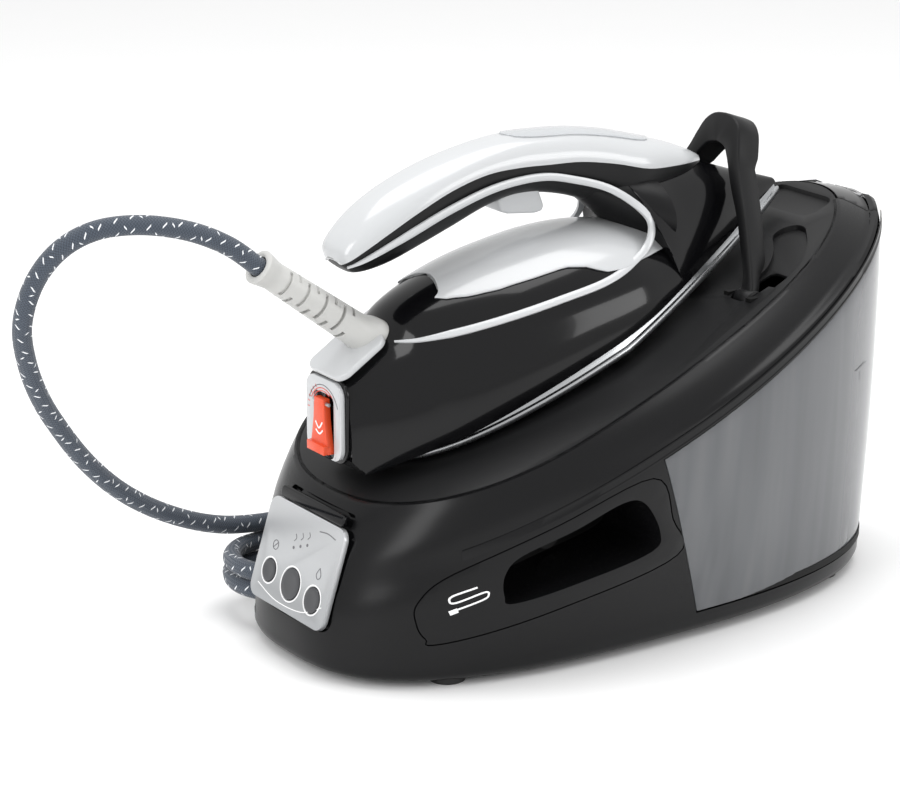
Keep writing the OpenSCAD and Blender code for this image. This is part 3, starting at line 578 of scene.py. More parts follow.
# %% The form as one solid
def base_levels(grow, steps=4):
    """All levels from the table edge to the seam of the rest."""
    foot = sloping_ring(FLOOR_LINE, 9, 0, grow)
    rim = sloping_ring(RIM_LINE, RIM_AT, RIM_RISE, grow)
    seam = sloping_ring(SEAM_LINE, SEAM_AT, SEAM_RISE, grow)
    levels = [foot, mixed_ring(foot, rim, 0.35, 2.2), mixed_ring(foot, rim, 0.7, 2.4), rim,
              mixed_ring(rim, seam, 0.4, 2.4), mixed_ring(rim, seam, 0.75, 1.8), seam]
    columns = [smooth_line([level[i] for level in levels], steps) for i in range(BASE_AROUND)]
    rings = [[column[k] for column in columns] for k in range(len(columns[0]))]
    edge = [sloping_ring(FLOOR_LINE, 4, 0, grow - 4.2), sloping_ring(FLOOR_LINE, 6, 0, grow - 1.3)]
    return edge + rings


def base_block(grow, longer=0):
    """The whole form of the base as one solid, its ends drawn out straight if asked."""
    levels = base_levels(grow)
    if longer:
        levels = ([[(x, y, z - longer) for x, y, z in levels[0]]] + levels
                  + [[(x, y, z + longer) for x, y, z in levels[-1]]])
    return loft("base_block", levels, satin_black)


print("base levels", len(base_levels(0)))

# %% [markdown]
# Seen from the side, the tank bay has a leaning front, a level foot and a sloping top. Seen from
# above, the fill lid is a wedge. Both outlines serve the housing and the piece that fills the
# opening, so the gap between them stays even.

# %% Outlines of the openings
def through_y(outline, low, high, name="knife"):
    """A tool with an outline in X and Z that runs across the base."""
    return prism(name, outline, low, high, lambda a, b, h: (a, h, b), satin_black)


BAY_FRONT, BAY_LEAN = 10.8, 0.364


def rim_height(x):
    """Height of the rim over the table at x."""
    return RIM_AT + RIM_RISE * x


def bay_front(z, back=0.0):
    """Where the tank bay starts at height z."""
    return BAY_FRONT - BAY_LEAN * z + back


def tank_outline(back, foot, drop):
    """Side view of the tank bay: leaning front, level foot and sloping top."""
    top_x = bay_front(RIM_AT - drop, back) / (1 + BAY_LEAN * RIM_RISE)
    return [(bay_front(foot, back), foot), (260, foot), (260, rim_height(260) - drop),
            (top_x, rim_height(top_x) - drop)]


def lid_outline(grow):
    """Plan of the fill lid: narrow at the rest, wide at the rim."""
    return [(160 - grow, 24), (160 - grow, -24), (168, -26 - grow), (240, -110 - grow),
            (240, 110 + grow), (168, 26 + grow)]


print("tank bay front at the rim", round(tank_outline(0, 16, 0)[3][0], 1))

# %% [markdown]
# The control panel leans back. Its own directions (across, up and out) let its plate, buttons
# and signs be drawn flat and placed once.

# %% Directions of the panel
PANEL_AT = Vector((-190.4, 0, 56))
PANEL_LEAN = math.radians(17.8)
PANEL_UP = Vector((math.sin(PANEL_LEAN), 0, math.cos(PANEL_LEAN)))
PANEL_OUT = Vector((-math.cos(PANEL_LEAN), 0, math.sin(PANEL_LEAN)))


def on_panel(a, b, h):
    """From the leaning control panel (a to the near side, b up, h out) to the base."""
    return PANEL_AT + Vector((0, -a, 0)) + PANEL_UP * b + PANEL_OUT * (h - 6)


print("panel centre", tuple(on_panel(0, 0, 0)))

# %% [markdown]
# The cord compartment's panel and its mouth are drop shapes. A few points carried by a smooth
# closed curve give such a shape, and pushing it out along its normals gives the even seam.

# %% Shape of the cord compartment
CORD_OUTLINE = [(-152, 27), (-84, 41), (-15.5, 57), (-22, 80), (-38, 107), (-96, 88), (-146, 66),
                (-163, 50), (-164, 38), (-160, 30)]
MOUTH_OUTLINE = [(-116, 47), (-76, 54), (-34, 63), (-30, 74), (-42, 93), (-56, 96), (-84, 85),
                 (-113, 74), (-122, 64), (-122, 52)]


def round_loop(stops, steps=6):
    """A closed smooth outline through a few points."""
    wide = stops[-2:] + stops + stops[:2]
    line = smooth_line(wide, steps)
    return line[2 * steps:(len(stops) + 2) * steps]


def scaled_loop(loop, grow):
    """The outline pushed out by grow along its own normals."""
    out = []
    area = sum(a[0] * b[1] - b[0] * a[1] for a, b in zip(loop, loop[1:] + loop[:1]))
    way = 1 if area > 0 else -1
    for k, (x, y) in enumerate(loop):
        before, after = loop[k - 1], loop[(k + 1) % len(loop)]
        dx, dy = after[0] - before[0], after[1] - before[1]
        size = math.hypot(dx, dy) or 1
        out.append((x + way * dy / size * grow, y - way * dx / size * grow))
    return out


cord_loop = round_loop(CORD_OUTLINE)
mouth_loop = round_loop(MOUTH_OUTLINE)
print("compartment outline points", len(cord_loop))

# %% [markdown]
# The housing is a shell of 3 mm. A double shell could be drawn at once, but the cuts come out
# cleaner when a solid block is cut first and hollowed last. Openings are where the real mouldings
# have them: the tank bay, the fill lid, the cord compartment, the hose bay and the panel's field.

# %% Base housing
housing = base_block(0)
housing.name = "base_housing"
cut(housing, through_y(tank_outline(0, 16, -0.4), -150, 150))
cut(housing, prism("knife", lid_outline(0.9), 60, 400, from_above, satin_black))
cut(housing, through_y(scaled_loop(cord_loop, 0.35), -140, -40))
cut(housing, through_y([(-208, 13), (-13, 13), (-13, 48), (-208, 48)], 41.6, 160))
for wide, tall, radius, up in ((77, 58, 7.5, -0.5), (65, 9, 3, 31.6)):
    field = [(a, b + up) for a, b in rounded_outline(wide, tall, radius)]
    cut(housing, prism("knife", field, -14, 12, on_panel, satin_black))
cut(housing, base_block(-3, longer=20))
soften(housing, 0.45)
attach(housing, "base")
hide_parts("body_shell", "top_cover")
print("housing faces", len(housing.data.polygons))

# %% [markdown]
# The cover's edge is a fine raised lip that starts over the cord compartment and runs round the
# rear over the tank. It hides the joint and casts the thin double line seen from the side.

# %% Cover lip
def rim_lip():
    """A strip 5 mm high and under 1 mm proud, fading out at the front."""
    rings = []
    span = math.radians(134)
    for k in range(161):
        angle = -span + 2 * span * k / 160
        fade = min(1.0, (span - abs(angle)) / math.radians(30))
        x0, y0 = oval_point(RIM_LINE, angle, 0.15)
        x1, y1 = oval_point(RIM_LINE, angle, 0.15 + 0.9 * fade)
        z = rim_height(x0)
        xm, ym = x0 + (x1 - x0) * 0.5, y0 + (y1 - y0) * 0.5
        rings.append([(x0, y0, z + 0.3), (x1, y1, z + 0.3), (x1, y1, z + 1.4), (xm, ym, z + 2.0),
                      (xm, ym, z + 5.6), (x0 * 0.999, y0 * 0.999, z + 6.2)])
    return loft("cover_lip", rings, satin_black)


lip = rim_lip()
cut(lip, prism("knife", lid_outline(0.6), 60, 400, from_above, satin_black))
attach(lip, "base")
print("lip faces", len(lip.data.polygons))

# %% [markdown]
# The cord compartment is its own moulding: a long drop-shaped panel, flush with the body but
# with a fine seam round it, and a deep round-edged mouth where the mains cord is pushed in. The
# mouth's closed back is lined with a dull deep black sheet as painted shade.

# %% Cord compartment
cord_panel = base_block(-0.15)
cord_panel.name = "cord_panel"
cut(cord_panel, through_y(scaled_loop(cord_loop, -0.35), -140, -56), "INTERSECT")
cut(cord_panel, through_y(mouth_loop, -141, -58))
soften(cord_panel, 0.9, 35, 3)
# A dull deep black sheet over the mouth's back wall: painted shade in the deep mouth.
mouth_shade_sheet = through_y(scaled_loop(mouth_loop, 0.6), -59.5, -57.5, "mouth_back_shade")
mouth_shade_sheet.data.materials[0] = deep_black
for part in (cord_panel, mouth_shade_sheet):
    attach(part, "base")
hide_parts("cord_bay")
print("cord panel faces", len(cord_panel.data.polygons))

# %% [markdown]
# The tank's plastic is clear but smoky, with faint upright streaks from the mould. Noise that is
# squeezed along the height gives such streaks, and a little transmission lets the light in.

# %% Finish of the tank
def smoky_plastic():
    """Clear grey plastic with soft upright streaks."""
    made = finish("smoky_plastic", (0.30, 0.31, 0.33), 0.16, 500, 0.01, 0.08)
    tree = made.node_tree
    shader = tree.nodes["Principled BSDF"]
    place = tree.nodes.new("ShaderNodeTexCoord")
    squeeze = tree.nodes.new("ShaderNodeMapping")
    squeeze.inputs["Scale"].default_value = (1, 1, 0.06)
    streak = tree.nodes.new("ShaderNodeTexNoise")
    set_inputs(streak, {"Scale": 60.0, "Detail": 2.0})
    link(tree, place.outputs["Object"], squeeze.inputs["Vector"])
    link(tree, squeeze.outputs["Vector"], streak.inputs["Vector"])
    tone = tree.nodes.new("ShaderNodeMix")
    tone.data_type = "RGBA"
    tone.inputs["A"].default_value = (0.11, 0.115, 0.125, 1)
    tone.inputs["B"].default_value = (0.22, 0.225, 0.235, 1)
    link(tree, streak.outputs["Fac"], tone.inputs["Factor"])
    link(tree, tone.outputs["Result"], shader.inputs["Base Color"])
    set_inputs(shader, {"Transmission Weight": 0.35, "IOR": 1.30, "Coat Weight": 0.3})
    return made


smoke = smoky_plastic()
print("finish", smoke.name)

# %% [markdown]
# The tank's wall is about 2.5 mm thick, with a flat-sided notch that lets it slide round the
# boiler. It's cut from the same form as the housing, so it ends flush with its neighbours.

# %% Water tank
def notch_block(grow):
    """Space round the boiler, open to the front."""
    rear, half = 138 + grow, 76 + grow
    return prism("notch", [(-100, -half), (rear, -half), (rear, half), (-100, half)], -50, 400,
                 from_above, satin_black)


tank = base_block(-0.3)
tank.name = "tank_shell"
cut(tank, through_y(tank_outline(0.8, 17, 1.2), -150, 150), "INTERSECT")
cut(tank, notch_block(0))
hollow = base_block(-2.9)
cut(hollow, through_y(tank_outline(3.6, 19.8, 3.0), -150, 150), "INTERSECT")
cut(hollow, notch_block(2.6))
cut(tank, hollow)
soften(tank, 0.8, 40, 3)
tank.data.materials[0] = smoke
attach(tank, "tank")
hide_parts("water_tank")
print("tank faces", len(tank.data.polygons))

# %% [markdown]
# A dark band, 4 mm high, runs round the tank's foot where it meets the base plate, as painted shade.
# It's a thin ring taken from the foot level of the same form.

# %% Painted shade at the tank's foot
# A dull deep black ring: painted shade along the tank's foot.
tank_foot_shade = loft("tank_foot_shade_band", [[(x, y, z + d) for x, y, z in sloping_ring(FLOOR_LINE, 17, 0, 1.0)]
                            for d in (0, 4.2)], deep_black)
cut(tank_foot_shade, through_y(tank_outline(1.2, 16.5, 2), -150, 150), "INTERSECT")
inside = loft("knife", [sloping_ring(FLOOR_LINE, h, 0, -1.6) for h in (10, 30)], deep_black)
cut(tank_foot_shade, inside)
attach(tank_foot_shade, "tank")
print("skirt faces", len(tank_foot_shade.data.polygons))

# %% [markdown]
# The fill lid is the rear piece of the cover. It's glossy and slightly clear, so it looks darker
# than the satin cover, and the same wedge shape is cut from the same surface.

# %% Fill lid
lid = base_block(0)
lid.name = "fill_lid"
cut(lid, prism("knife", lid_outline(-0.3), 60, 400, from_above, satin_black), "INTERSECT")
LID_REAR = 190.9
over_rim = [(100, rim_height(100) + 1), (LID_REAR, rim_height(LID_REAR) + 1), (LID_REAR, 400), (100, 400)]
cut(lid, through_y(over_rim, -150, 150), "INTERSECT")
cut(lid, base_block(-3.2))
seam_hole = [sloping_ring(SEAM_LINE, at, SEAM_RISE, 0.6) for at in (100, 260)]
cut(lid, loft("knife", seam_hole, satin_black))
soften(lid, 0.5)
lid.data.materials[0] = piano_black
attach(lid, "lid")
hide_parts("tank_lid")
print("lid faces", len(lid.data.polygons))

# %% [markdown]
# The rest is a plate with a lowered channel on each side, where the lock hoop's feet sit and
# swing, and a stepped finger place before the fill lid.

# %% Iron rest
def both_edges(line, half):
    """Points half a width to the left and to the right of a flat line."""
    left, right = [], []
    for k, (x, y) in enumerate(line):
        before, after = line[max(k - 1, 0)], line[min(k + 1, len(line) - 1)]
        dx, dy = after[0] - before[0], after[1] - before[1]
        size = math.hypot(dx, dy) or 1
        left.append((x - dy / size * half, y + dx / size * half))
        right.append((x + dy / size * half, y - dx / size * half))
    return left, right


def plan_stadium(line, radius):
    """Outline in plan round a line of points, with a round end."""
    left, right = both_edges(line, radius)
    end, before = line[-1], line[-2]
    start = math.atan2(end[1] - before[1], end[0] - before[0])
    cap = [(end[0] + radius * math.cos(start + a), end[1] + radius * math.sin(start + a))
           for a in (math.radians(90 - 15 * i) for i in range(1, 12))]
    return left + cap + right[::-1]


def below_seam(drop):
    """Lower bound of a cut that follows the slope of the rest."""
    return lambda a, b, h: (a, b, (SEAM_AT - drop if h < 0 else 230) + SEAM_RISE * a)


rest_levels = ((151.2, -3.8), (153.7, -0.5), (155.4, -0.5), (155.9, -1.1))
rest = loft("rest_plate", [sloping_ring(SEAM_LINE, at, SEAM_RISE, grow) for at, grow in rest_levels],
            rest_black)
for side in (-1, 1):
    slot_at = [(a + 78, b + side * 60) for a, b in rounded_outline(34, 14.4, 4)]
    cut(rest, prism("knife", slot_at, 120, 260, from_above, rest_black))
    channel = smooth_line([(78, side * 62), (96, side * 58), (112, side * 46), (124, side * 31)], 6)
    cut(rest, prism("knife", plan_stadium(channel, 9.5), -1, 1, below_seam(3.2), rest_black))
finger_place = [(a + 152, b) for a, b in rounded_outline(22, 52, 8)]
cut(rest, prism("knife", finger_place, -1, 1, below_seam(2.7), rest_black))
soften(rest, 0.6, 35, 3)
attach(rest, "base")
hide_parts("iron_rest")
print("rest faces", len(rest.data.polygons))

# %% [markdown]
# The plate is painted silver with a fine upright brushing. Its colour is painted darker towards its foot
# and lighter at the top, as shade. The fade follows the height on the object, so it stays the same from
# every side.

# %% Finish of the control plate, with painted shade
def silver_with_painted_shade():
    """Silver paint with painted shade: darker towards the foot, lighter at the top."""
    made = finish("silver_with_painted_shade", (0.5, 0.5, 0.5), 0.34, 1200, 0.02, 0.03,
                  sockets={"Metallic": 0.75})
    tree = made.node_tree
    place = tree.nodes.new("ShaderNodeTexCoord")
    parts = tree.nodes.new("ShaderNodeSeparateXYZ")
    link(tree, place.outputs["Object"], parts.inputs["Vector"])
    # Painted shade: the colour goes from dark at the foot to light at the top of the plate.
    fade = tree.nodes.new("ShaderNodeMapRange")
    set_inputs(fade, {"From Min": 0.028, "From Max": 0.088, "To Min": 0.0, "To Max": 1.0})
    link(tree, parts.outputs["Z"], fade.inputs["Value"])
    tone = tree.nodes.new("ShaderNodeMix")
    tone.data_type = "RGBA"
    tone.inputs["A"].default_value = (0.36, 0.37, 0.38, 1)
    tone.inputs["B"].default_value = (0.66, 0.67, 0.68, 1)
    link(tree, fade.outputs["Result"], tone.inputs["Factor"])
    link(tree, tone.outputs["Result"], tree.nodes["Principled BSDF"].inputs["Base Color"])
    return made


shaded_silver = silver_with_painted_shade()
print("finish", shaded_silver.name)

# %% [markdown]
# Printed signs could be a texture, but thin raised strokes stay sharp at any distance and go out
# with the mesh. A stroke is a flat line given an even width, and many strokes are joined as one.

# %% Tools for printed signs
def disc(radius, steps=40, at=(0, 0)):
    """A round outline."""
    return [(at[0] + radius * math.cos(t), at[1] + radius * math.sin(t)) for t in whole_turn(steps)]


def stroke(name, line, width, material, low=7.38, high=7.52, turn=on_panel):
    """A printed line of even width on the plate."""
    left, right = both_edges(line, width / 2)
    return prism(name, left + right[::-1], low, high, turn, material)


def join(name, pieces):
    """Makes one object of several."""
    work = bmesh.new()
    finishes = []
    for piece in pieces:
        extra = piece.data
        start = len(finishes)
        finishes += list(extra.materials)
        count = len(work.faces)
        work.from_mesh(extra)
        work.faces.ensure_lookup_table()
        for face in work.faces[count:]:
            face.material_index += start
        bpy.data.objects.remove(piece)
    mesh = bpy.data.meshes.new(name)
    work.to_mesh(mesh)
    work.free()
    for m in finishes:
        mesh.materials.append(m)
    one = bpy.data.objects.new(name, mesh)
    scene.collection.objects.link(one)
    return one


print("points of a small disc", len(disc(0.9, 16)))

# %% [markdown]
# The plate is sunk in the leaning front and has a hole for each button. A loft could make the
# holes too, but cutting them from a plain plate keeps them truly round.

# %% Control plate
BUTTONS = [("power", -23, -12, 6.2), ("mode", 0, -13, 8.6), ("descale", 23, -15, 7.0)]
plate = prism("control_plate", [(a, b - 0.5) for a, b in rounded_outline(76, 57, 7)], 4.4, 7.4,
              on_panel, satin_black)
plate.data.materials[0] = shaded_silver
for name, a, b, r in BUTTONS:
    cut(plate, prism("knife", disc(r + 0.4, 48, (a, b)), 0, 12, on_panel, steel))
soften(plate, 0.7, 35, 3)
print("plate faces", len(plate.data.polygons))

# %% [markdown]
# The signs on the plate are plain: a sweeping line, a switch mark, dots and short waves for the
# steam levels, a drop for descaling, and a white ring round each button.

# %% Signs on the plate
sweep = smooth_line([(-31, -21), (-10, -25.5), (16, -24), (33, -16)], 8)
prints = [stroke("sweep", sweep, 0.5, print_white)]
prints += [stroke("mark", [(-24.5, 1), (-21.5, 4)], 0.5, print_grey),
           stroke("mark", disc(2.6, 24, (-23, 2.5)) + [(-20.4, 2.5)], 0.45, print_grey)]
for k in range(3):
    prints.append(prism("dot", disc(0.9, 16, (-6 + 6 * k, 6 + 2.4 * k)), 7.38, 7.52,
                        on_panel, print_grey))
    wave = [(x + 6 * k, y + 2.2 * k) for x, y in ((-7, 9.5), (-5.4, 11.5), (-6.8, 13.5))]
    prints.append(stroke("mark", smooth_line(wave, 5), 0.45, print_grey))
drop = [(23, 3), (20.8, -1), (23, -3.2), (25.2, -1), (23, 3)]
prints.append(stroke("mark", smooth_line(drop, 5), 0.45, print_grey))
prints.append(stroke("mark", smooth_line([(14, 21), (22, 22), (30, 21)], 5), 0.6, print_grey))
for name, a, b, r in BUTTONS:
    ring = disc(r + 1.15, 48, (a, b)) + [(a + r + 1.15, b)]
    prints.append(stroke("ring", ring, 0.75, print_white, 7.3, 7.6))
signs = join("panel_signs", prints)
for part in (plate, signs):
    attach(part, "base")
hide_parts("control_panel")
print("panel signs", len(signs.data.polygons))

# %% [markdown]
# Over the plate lies a gloss black strip. Each button is a grey cap with a rounded shoulder and a
# nearly flat top, turned from a profile, and it rides on its own body so that it can be pressed.

# %% Strip and buttons
strip_outline = [(a, b + 31.8) for a, b in rounded_outline(64, 6.4, 2.5)]
strip = soften(prism("gloss_strip", strip_outline, 4.2, 6.9, on_panel, piano_black), 0.5, 35, 3)
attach(strip, "base")
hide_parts("panel_strip")
for name, a, b, r in BUTTONS:
    profile = [(r + 1.4, 2.3), (r + 1.4, 3.5), (r, 3.5), (r, 7.7), (r - 0.25, 8.05),
               (r - 0.8, 8.2), (r * 0.6, 8.05), (0.01, 7.95)]
    rings = [[on_panel(a + q * math.cos(t), b + q * math.sin(t), h)
              for t in whole_turn(48)] for q, h in profile]
    cap = loft(name + "_cap", rings, button_grey)
    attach(cap, name)
    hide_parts(name + "_button")
    print(name, "cap faces", len(cap.data.polygons))

# %% [markdown]
# The lock hoop leans back over the iron's nose. Half of its outer and inner outline is drawn in
# its own plane and mirrored, because the real hoop is the same on both sides.

# %% Outline of the lock hoop
HOOP_LEAN = math.radians(19)


def on_hoop(a, v, h):
    """From the hoop's plane (a across, v up along it, h forward) to the base."""
    x = v * math.sin(HOOP_LEAN) + h * math.cos(HOOP_LEAN)
    return Vector((70 + x, a, 176 + v * math.cos(HOOP_LEAN) - h * math.sin(HOOP_LEAN)))


def mirrored(half):
    """Both sides of an outline that starts at the foot and ends at the middle."""
    return half + [(-a, b) for a, b in half[-2::-1]]


OUTER_HALF = [(65.4, 2), (63.6, 9), (56, 23), (43, 44), (30.5, 62), (23, 74), (19, 84), (15, 92),
              (8.5, 96.8), (0, 98)]
INNER_HALF = [(54.6, 2), (53.6, 12), (46.5, 24), (35, 42), (24, 56), (17, 66), (12, 73.5), (7, 79),
              (0, 80.8)]
hoop_out = mirrored(smooth_line(OUTER_HALF, 5))
hoop_in = mirrored(smooth_line(INNER_HALF, 5)[:-1] + [(0, 80.8)] * 6)
print("hoop sections", len(hoop_out), len(hoop_in))

# %% [markdown]
# The arch is wide at the top and tapers to its feet. Each section has soft outer edges and a
# rolled lip on the inner edge, and the band is deeper towards the top, measured from its middle.

# %% Lock hoop
def band_back(v):
    """How far back the band reaches: thin at the foot, deep at the top."""
    stops = [(0, 3.0), (14, 3.2), (22, 9.0), (44, 10.4), (66, 11.4), (72, 10.4), (78, 13.0),
             (99, 13.8)]
    for (v0, h0), (v1, h1) in zip(stops, stops[1:]):
        if v <= v1:
            return h0 + (h1 - h0) * (v - v0) / (v1 - v0)
    return stops[-1][1]


def hoop_section(k, inset, h):
    """Outer or inner point moved towards the middle of the band."""
    (ax, ay), (bx, by) = hoop_out[k], hoop_in[k]
    size = math.hypot(bx - ax, by - ay)
    ux, uy = (bx - ax) / size, (by - ay) / size
    return [on_hoop(ax + ux * inset, ay + uy * inset, h),
            on_hoop(bx - ux * inset, by - uy * inset, h)]


hoop_rings = []
for k in range(len(hoop_out)):
    front_out, front_in = hoop_section(k, 1.1, -3.5)
    edge_out, edge_in = hoop_section(k, 0.3, -2.9)
    side_out, side_in = hoop_section(k, 0.0, -2.0)
    deep = band_back(hoop_out[k][1])
    back_out, back_in = hoop_section(k, 0.0, deep - 1.0)
    low_out, low_in = hoop_section(k, 0.9, deep)
    lip_in = hoop_section(k, 0.0, -0.6)[1]
    groove_in = hoop_section(k, 1.0, 0.4)[1]
    hoop_rings.append([front_out, edge_out, side_out, back_out, low_out,
                       low_in, back_in, groove_in, lip_in, side_in, edge_in, front_in])
arch_piece = loft("hoop_arch", hoop_rings, hoop_black, sharp=50)
feet_rings = []
for side in (-1, 1):
    rings = []
    for q, w in ((5.9, -6), (6.6, -5.3), (6.6, 5.3), (5.9, 6)):
        rings.append([on_hoop(side * 60 + w, q * math.sin(t), q * math.cos(t))
                      for t in whole_turn(36)])
    feet_rings.append(loft("foot", rings, hoop_black))
hoop = join("hoop_arch", [arch_piece] + feet_rings)
crisp(hoop, 50)
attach(hoop, "hoop")
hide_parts("lock_hoop")
print("hoop faces", len(hoop.data.polygons))

# %% [markdown]
# The iron is described in its own directions: along the sole, across it and up from it. Its body
# is a smooth gloss shell drawn through half-oval sections, low under the saddle and high again
# where the front rises to meet the handle.

# %% Iron body
TILT = math.radians(21.5)


def on_iron(x, y, z):
    """From the iron's own directions to the base."""
    return Vector((x * math.cos(TILT) - z * math.sin(TILT), y,
                   161.5 + x * math.sin(TILT) + z * math.cos(TILT)))


def iron_side(a, b, h):
    """The turn of an outline that is drawn on the iron's side view."""
    return on_iron(a, h, b)


SOLE_LINE = (-150, 153, 57, 2.4, 1.145, -11)
SHELL_FOOT = 8.3
rear_stops = [(-182, 19, 54), (-168, 25, 58), (-150, 34.5, 61), (-128, 44, 67), (-112, 49, 75.5),
              (-90, 52.6, 78), (-62, 55, 76.5), (-34, 55.8, 71.5), (-8, 55.2, 65), (16, 51.6, 56),
              (38, 45, 44.5), (52, 40.3, 37)]
nose_stops = [(44, 42.8, 75), (52, 40.1, 73), (60, 37.3, 69), (70, 33.8, 63.6), (82, 29.5, 58.3),
              (94, 25.1, 53), (104, 21, 47.5), (116, 16, 38), (128, 11, 28), (140, 6.5, 19),
              (150, 2.6, 11)]
rear_sections = smooth_line(rear_stops, 6)
nose_sections = smooth_line(nose_stops, 5)


def shell_point(section, angle, out=0.0):
    """Place on a half-oval section, pushed out a little."""
    x, half, crest = section
    return (x, math.cos(angle) * max(0.6, half + out),
            SHELL_FOOT + math.sin(angle) * max(0.8, crest - SHELL_FOOT + out))


def section_at(x):
    """Section of the low body at x."""
    for a, b in zip(rear_sections, rear_sections[1:]):
        if a[0] <= x <= b[0]:
            t = (x - a[0]) / (b[0] - a[0])
            return tuple(p + (q - p) * t for p, q in zip(a, b))
    return rear_sections[0] if x < rear_sections[0][0] else rear_sections[-1]


def half_oval_solid(name, sections):
    """A solid through half-oval sections with a flat underside."""
    half_turn = [math.pi * k / 48 for k in range(49)]
    rings = [[on_iron(*shell_point(s, t)) for t in half_turn] for s in sections]
    return loft(name, rings, piano_black)


iron_body = half_oval_solid("iron_body", rear_sections)
heel_cut = [(-215, -10), (-170.5, -10), (-170.5, 8.5), (-174.5, 18.5), (-158, 60.5), (-148, 100),
            (-215, 100)]
cut(iron_body, prism("knife", heel_cut, -60, 60, iron_side, piano_black))
nose = half_oval_solid("iron_nose", nose_sections)
iron_body = cut(iron_body, nose, "UNION")
soften(iron_body, 0.6, 40, 3)
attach(iron_body, "iron")
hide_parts("iron_shell")
print("iron body faces", len(iron_body.data.polygons))

# %% [markdown]
# The soleplate shows as a bright double step: the polished lower plate with a round edge and a
# slightly smaller upper plate.

# %% Soleplate
sole_steps = ((-1.6, 0.0), (-0.5, 0.5), (0.0, 1.5), (0.0, 3.2), (-0.5, 4.0), (-2.6, 4.1),
              (-2.6, 6.9), (-3.1, 7.9), (-6, 8.0))
sole_rings = [[on_iron(*oval_point(SOLE_LINE, t, g), z) for t in whole_turn(160)]
              for g, z in sole_steps]
sole = loft("sole_of_iron", sole_rings, steel)
for k in range(9):
    x = 118 - 22 * k
    share = max(0, (x + 11) / 164) ** (SOLE_LINE[4] / 2)
    reach = oval_point(SOLE_LINE, math.acos(max(-1, min(1, share))))[1]
    for side in (-1, 1):
        y = side * (0.72 * reach - 4)
        cut(sole, prism("knife", disc(1.6, 16, (x, y)), -2, 3, on_iron, deep_black))
polished = finish("polished_sole", (0.44, 0.45, 0.46), 0.28, 300, 0.02, 0.04,
                  sockets={"Metallic": 1.0})
sole.data.materials[0] = polished
soften(sole, 0.2, 50, 1)
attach(sole, "iron")
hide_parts("soleplate")
print("sole faces", len(sole.data.polygons))

# %% [markdown]
# The saddle is a thin pale leaf that follows the top of the body. It ends in a point on each
# side at the rear, where the black hump comes forward between the points.

# %% Saddle
def side_share(x):
    """How far down each flank the leaf reaches, in degrees from the top."""
    stops = [(-96, 17), (-88, 25), (-76, 31), (-60, 35), (-36, 37.5), (-20, 38.5), (-10, 42.5),
             (0, 50.5), (12, 53), (30, 51), (47, 48)]
    for (x0, a0), (x1, a1) in zip(stops, stops[1:]):
        if x <= x1:
            t = max(0.0, (x - x0) / (x1 - x0))
            t = t * t * (3 - 2 * t) * 0.3 + t * 0.7
            return a0 + (a1 - a0) * t
    return stops[-1][1]


def saddle_ring(u, out):
    """One row of the leaf from side to side; u runs from the rear to the front."""
    row = []
    for k in range(41):
        v = -1 + k / 20
        rear = -82 - 11 * abs(v) ** 1.6
        x = rear + (47 - rear) * u
        angle = math.radians(90 - v * side_share(x))
        row.append(on_iron(*shell_point(section_at(x), angle, out)))
    return row


saddle_rings = [saddle_ring(k / 30, 1.4) + saddle_ring(k / 30, 0.1)[::-1] for k in range(31)]
saddle = loft("saddle", saddle_rings, pearl_white)
soften(saddle, 0.5, 40, 3)
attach(saddle, "iron")
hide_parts("saddle_panel")
print("saddle faces", len(saddle.data.polygons))

# %% [markdown]
# The handle is one closed loop of plastic over the saddle. Each row gives the crown, the side seam
# and the underside in the iron's side view, and half the width. A swept pipe would be simpler, but
# the real grip changes its section all along.

# %% Shape of the handle
HANDLE = [((-133.5, 119), (-132.5, 115), (-131, 111), 7), ((-131, 124), (-129.5, 117), (-127, 106), 13),
          ((-122, 129), (-120, 119), (-118, 102.5), 16.5), ((-107, 134), (-105, 121), (-104, 100), 18.5),
          ((-86, 136.5), (-86, 122.5), (-86, 99), 19), ((-60, 136), (-61, 122.5), (-62, 98), 18),
          ((-35, 132.5), (-37, 119), (-41, 97.5), 17), ((-12, 127), (-17, 112), (-23, 95), 17),
          ((8, 119), (1, 104), (-4, 87), 17), ((28, 109.5), (20, 95.5), (15, 74), 17.5),
          ((49, 97), (40, 83.5), (32, 58), 19), ((67, 84), (58, 71), (47, 44), 21),
          ((85, 70.5), (78, 61), (60, 40), 16), ((97, 59.5), (93, 54.5), (80, 36), 11),
          ((105, 50.5), (104, 48.5), (100, 34), 3)]
handle_rows = smooth_line([crown + seam + under + (half,) for crown, seam, under, half in HANDLE], 5)


def handle_point(row, angle, out=0.0):
    """Place round the handle: 90 degrees is the crown, 0 and 180 the seams, 270 the underside."""
    seam = row[2:4]
    end = row[0:2] if math.sin(angle) >= 0 else row[4:6]
    dx, dz = end[0] - seam[0], end[1] - seam[1]
    size = math.hypot(dx, dz)
    s = abs(math.sin(angle)) ** 0.92 * (size + out) / size
    c = math.copysign(abs(math.cos(angle)) ** 0.88, math.cos(angle)) * (row[6] + out)
    return on_iron(seam[0] + dx * s, c, seam[1] + dz * s)


def degrees_between(low, high, steps):
    """Even angles from low to high degrees."""
    return [math.radians(low + (high - low) * i / steps) for i in range(steps + 1)]


print("handle rows", len(handle_rows))

# %% [markdown]
# The soft black grip is the whole form. The white cover is a shell over its upper half, a little
# proud, and a black band is left between the cover's edge and the white side line.

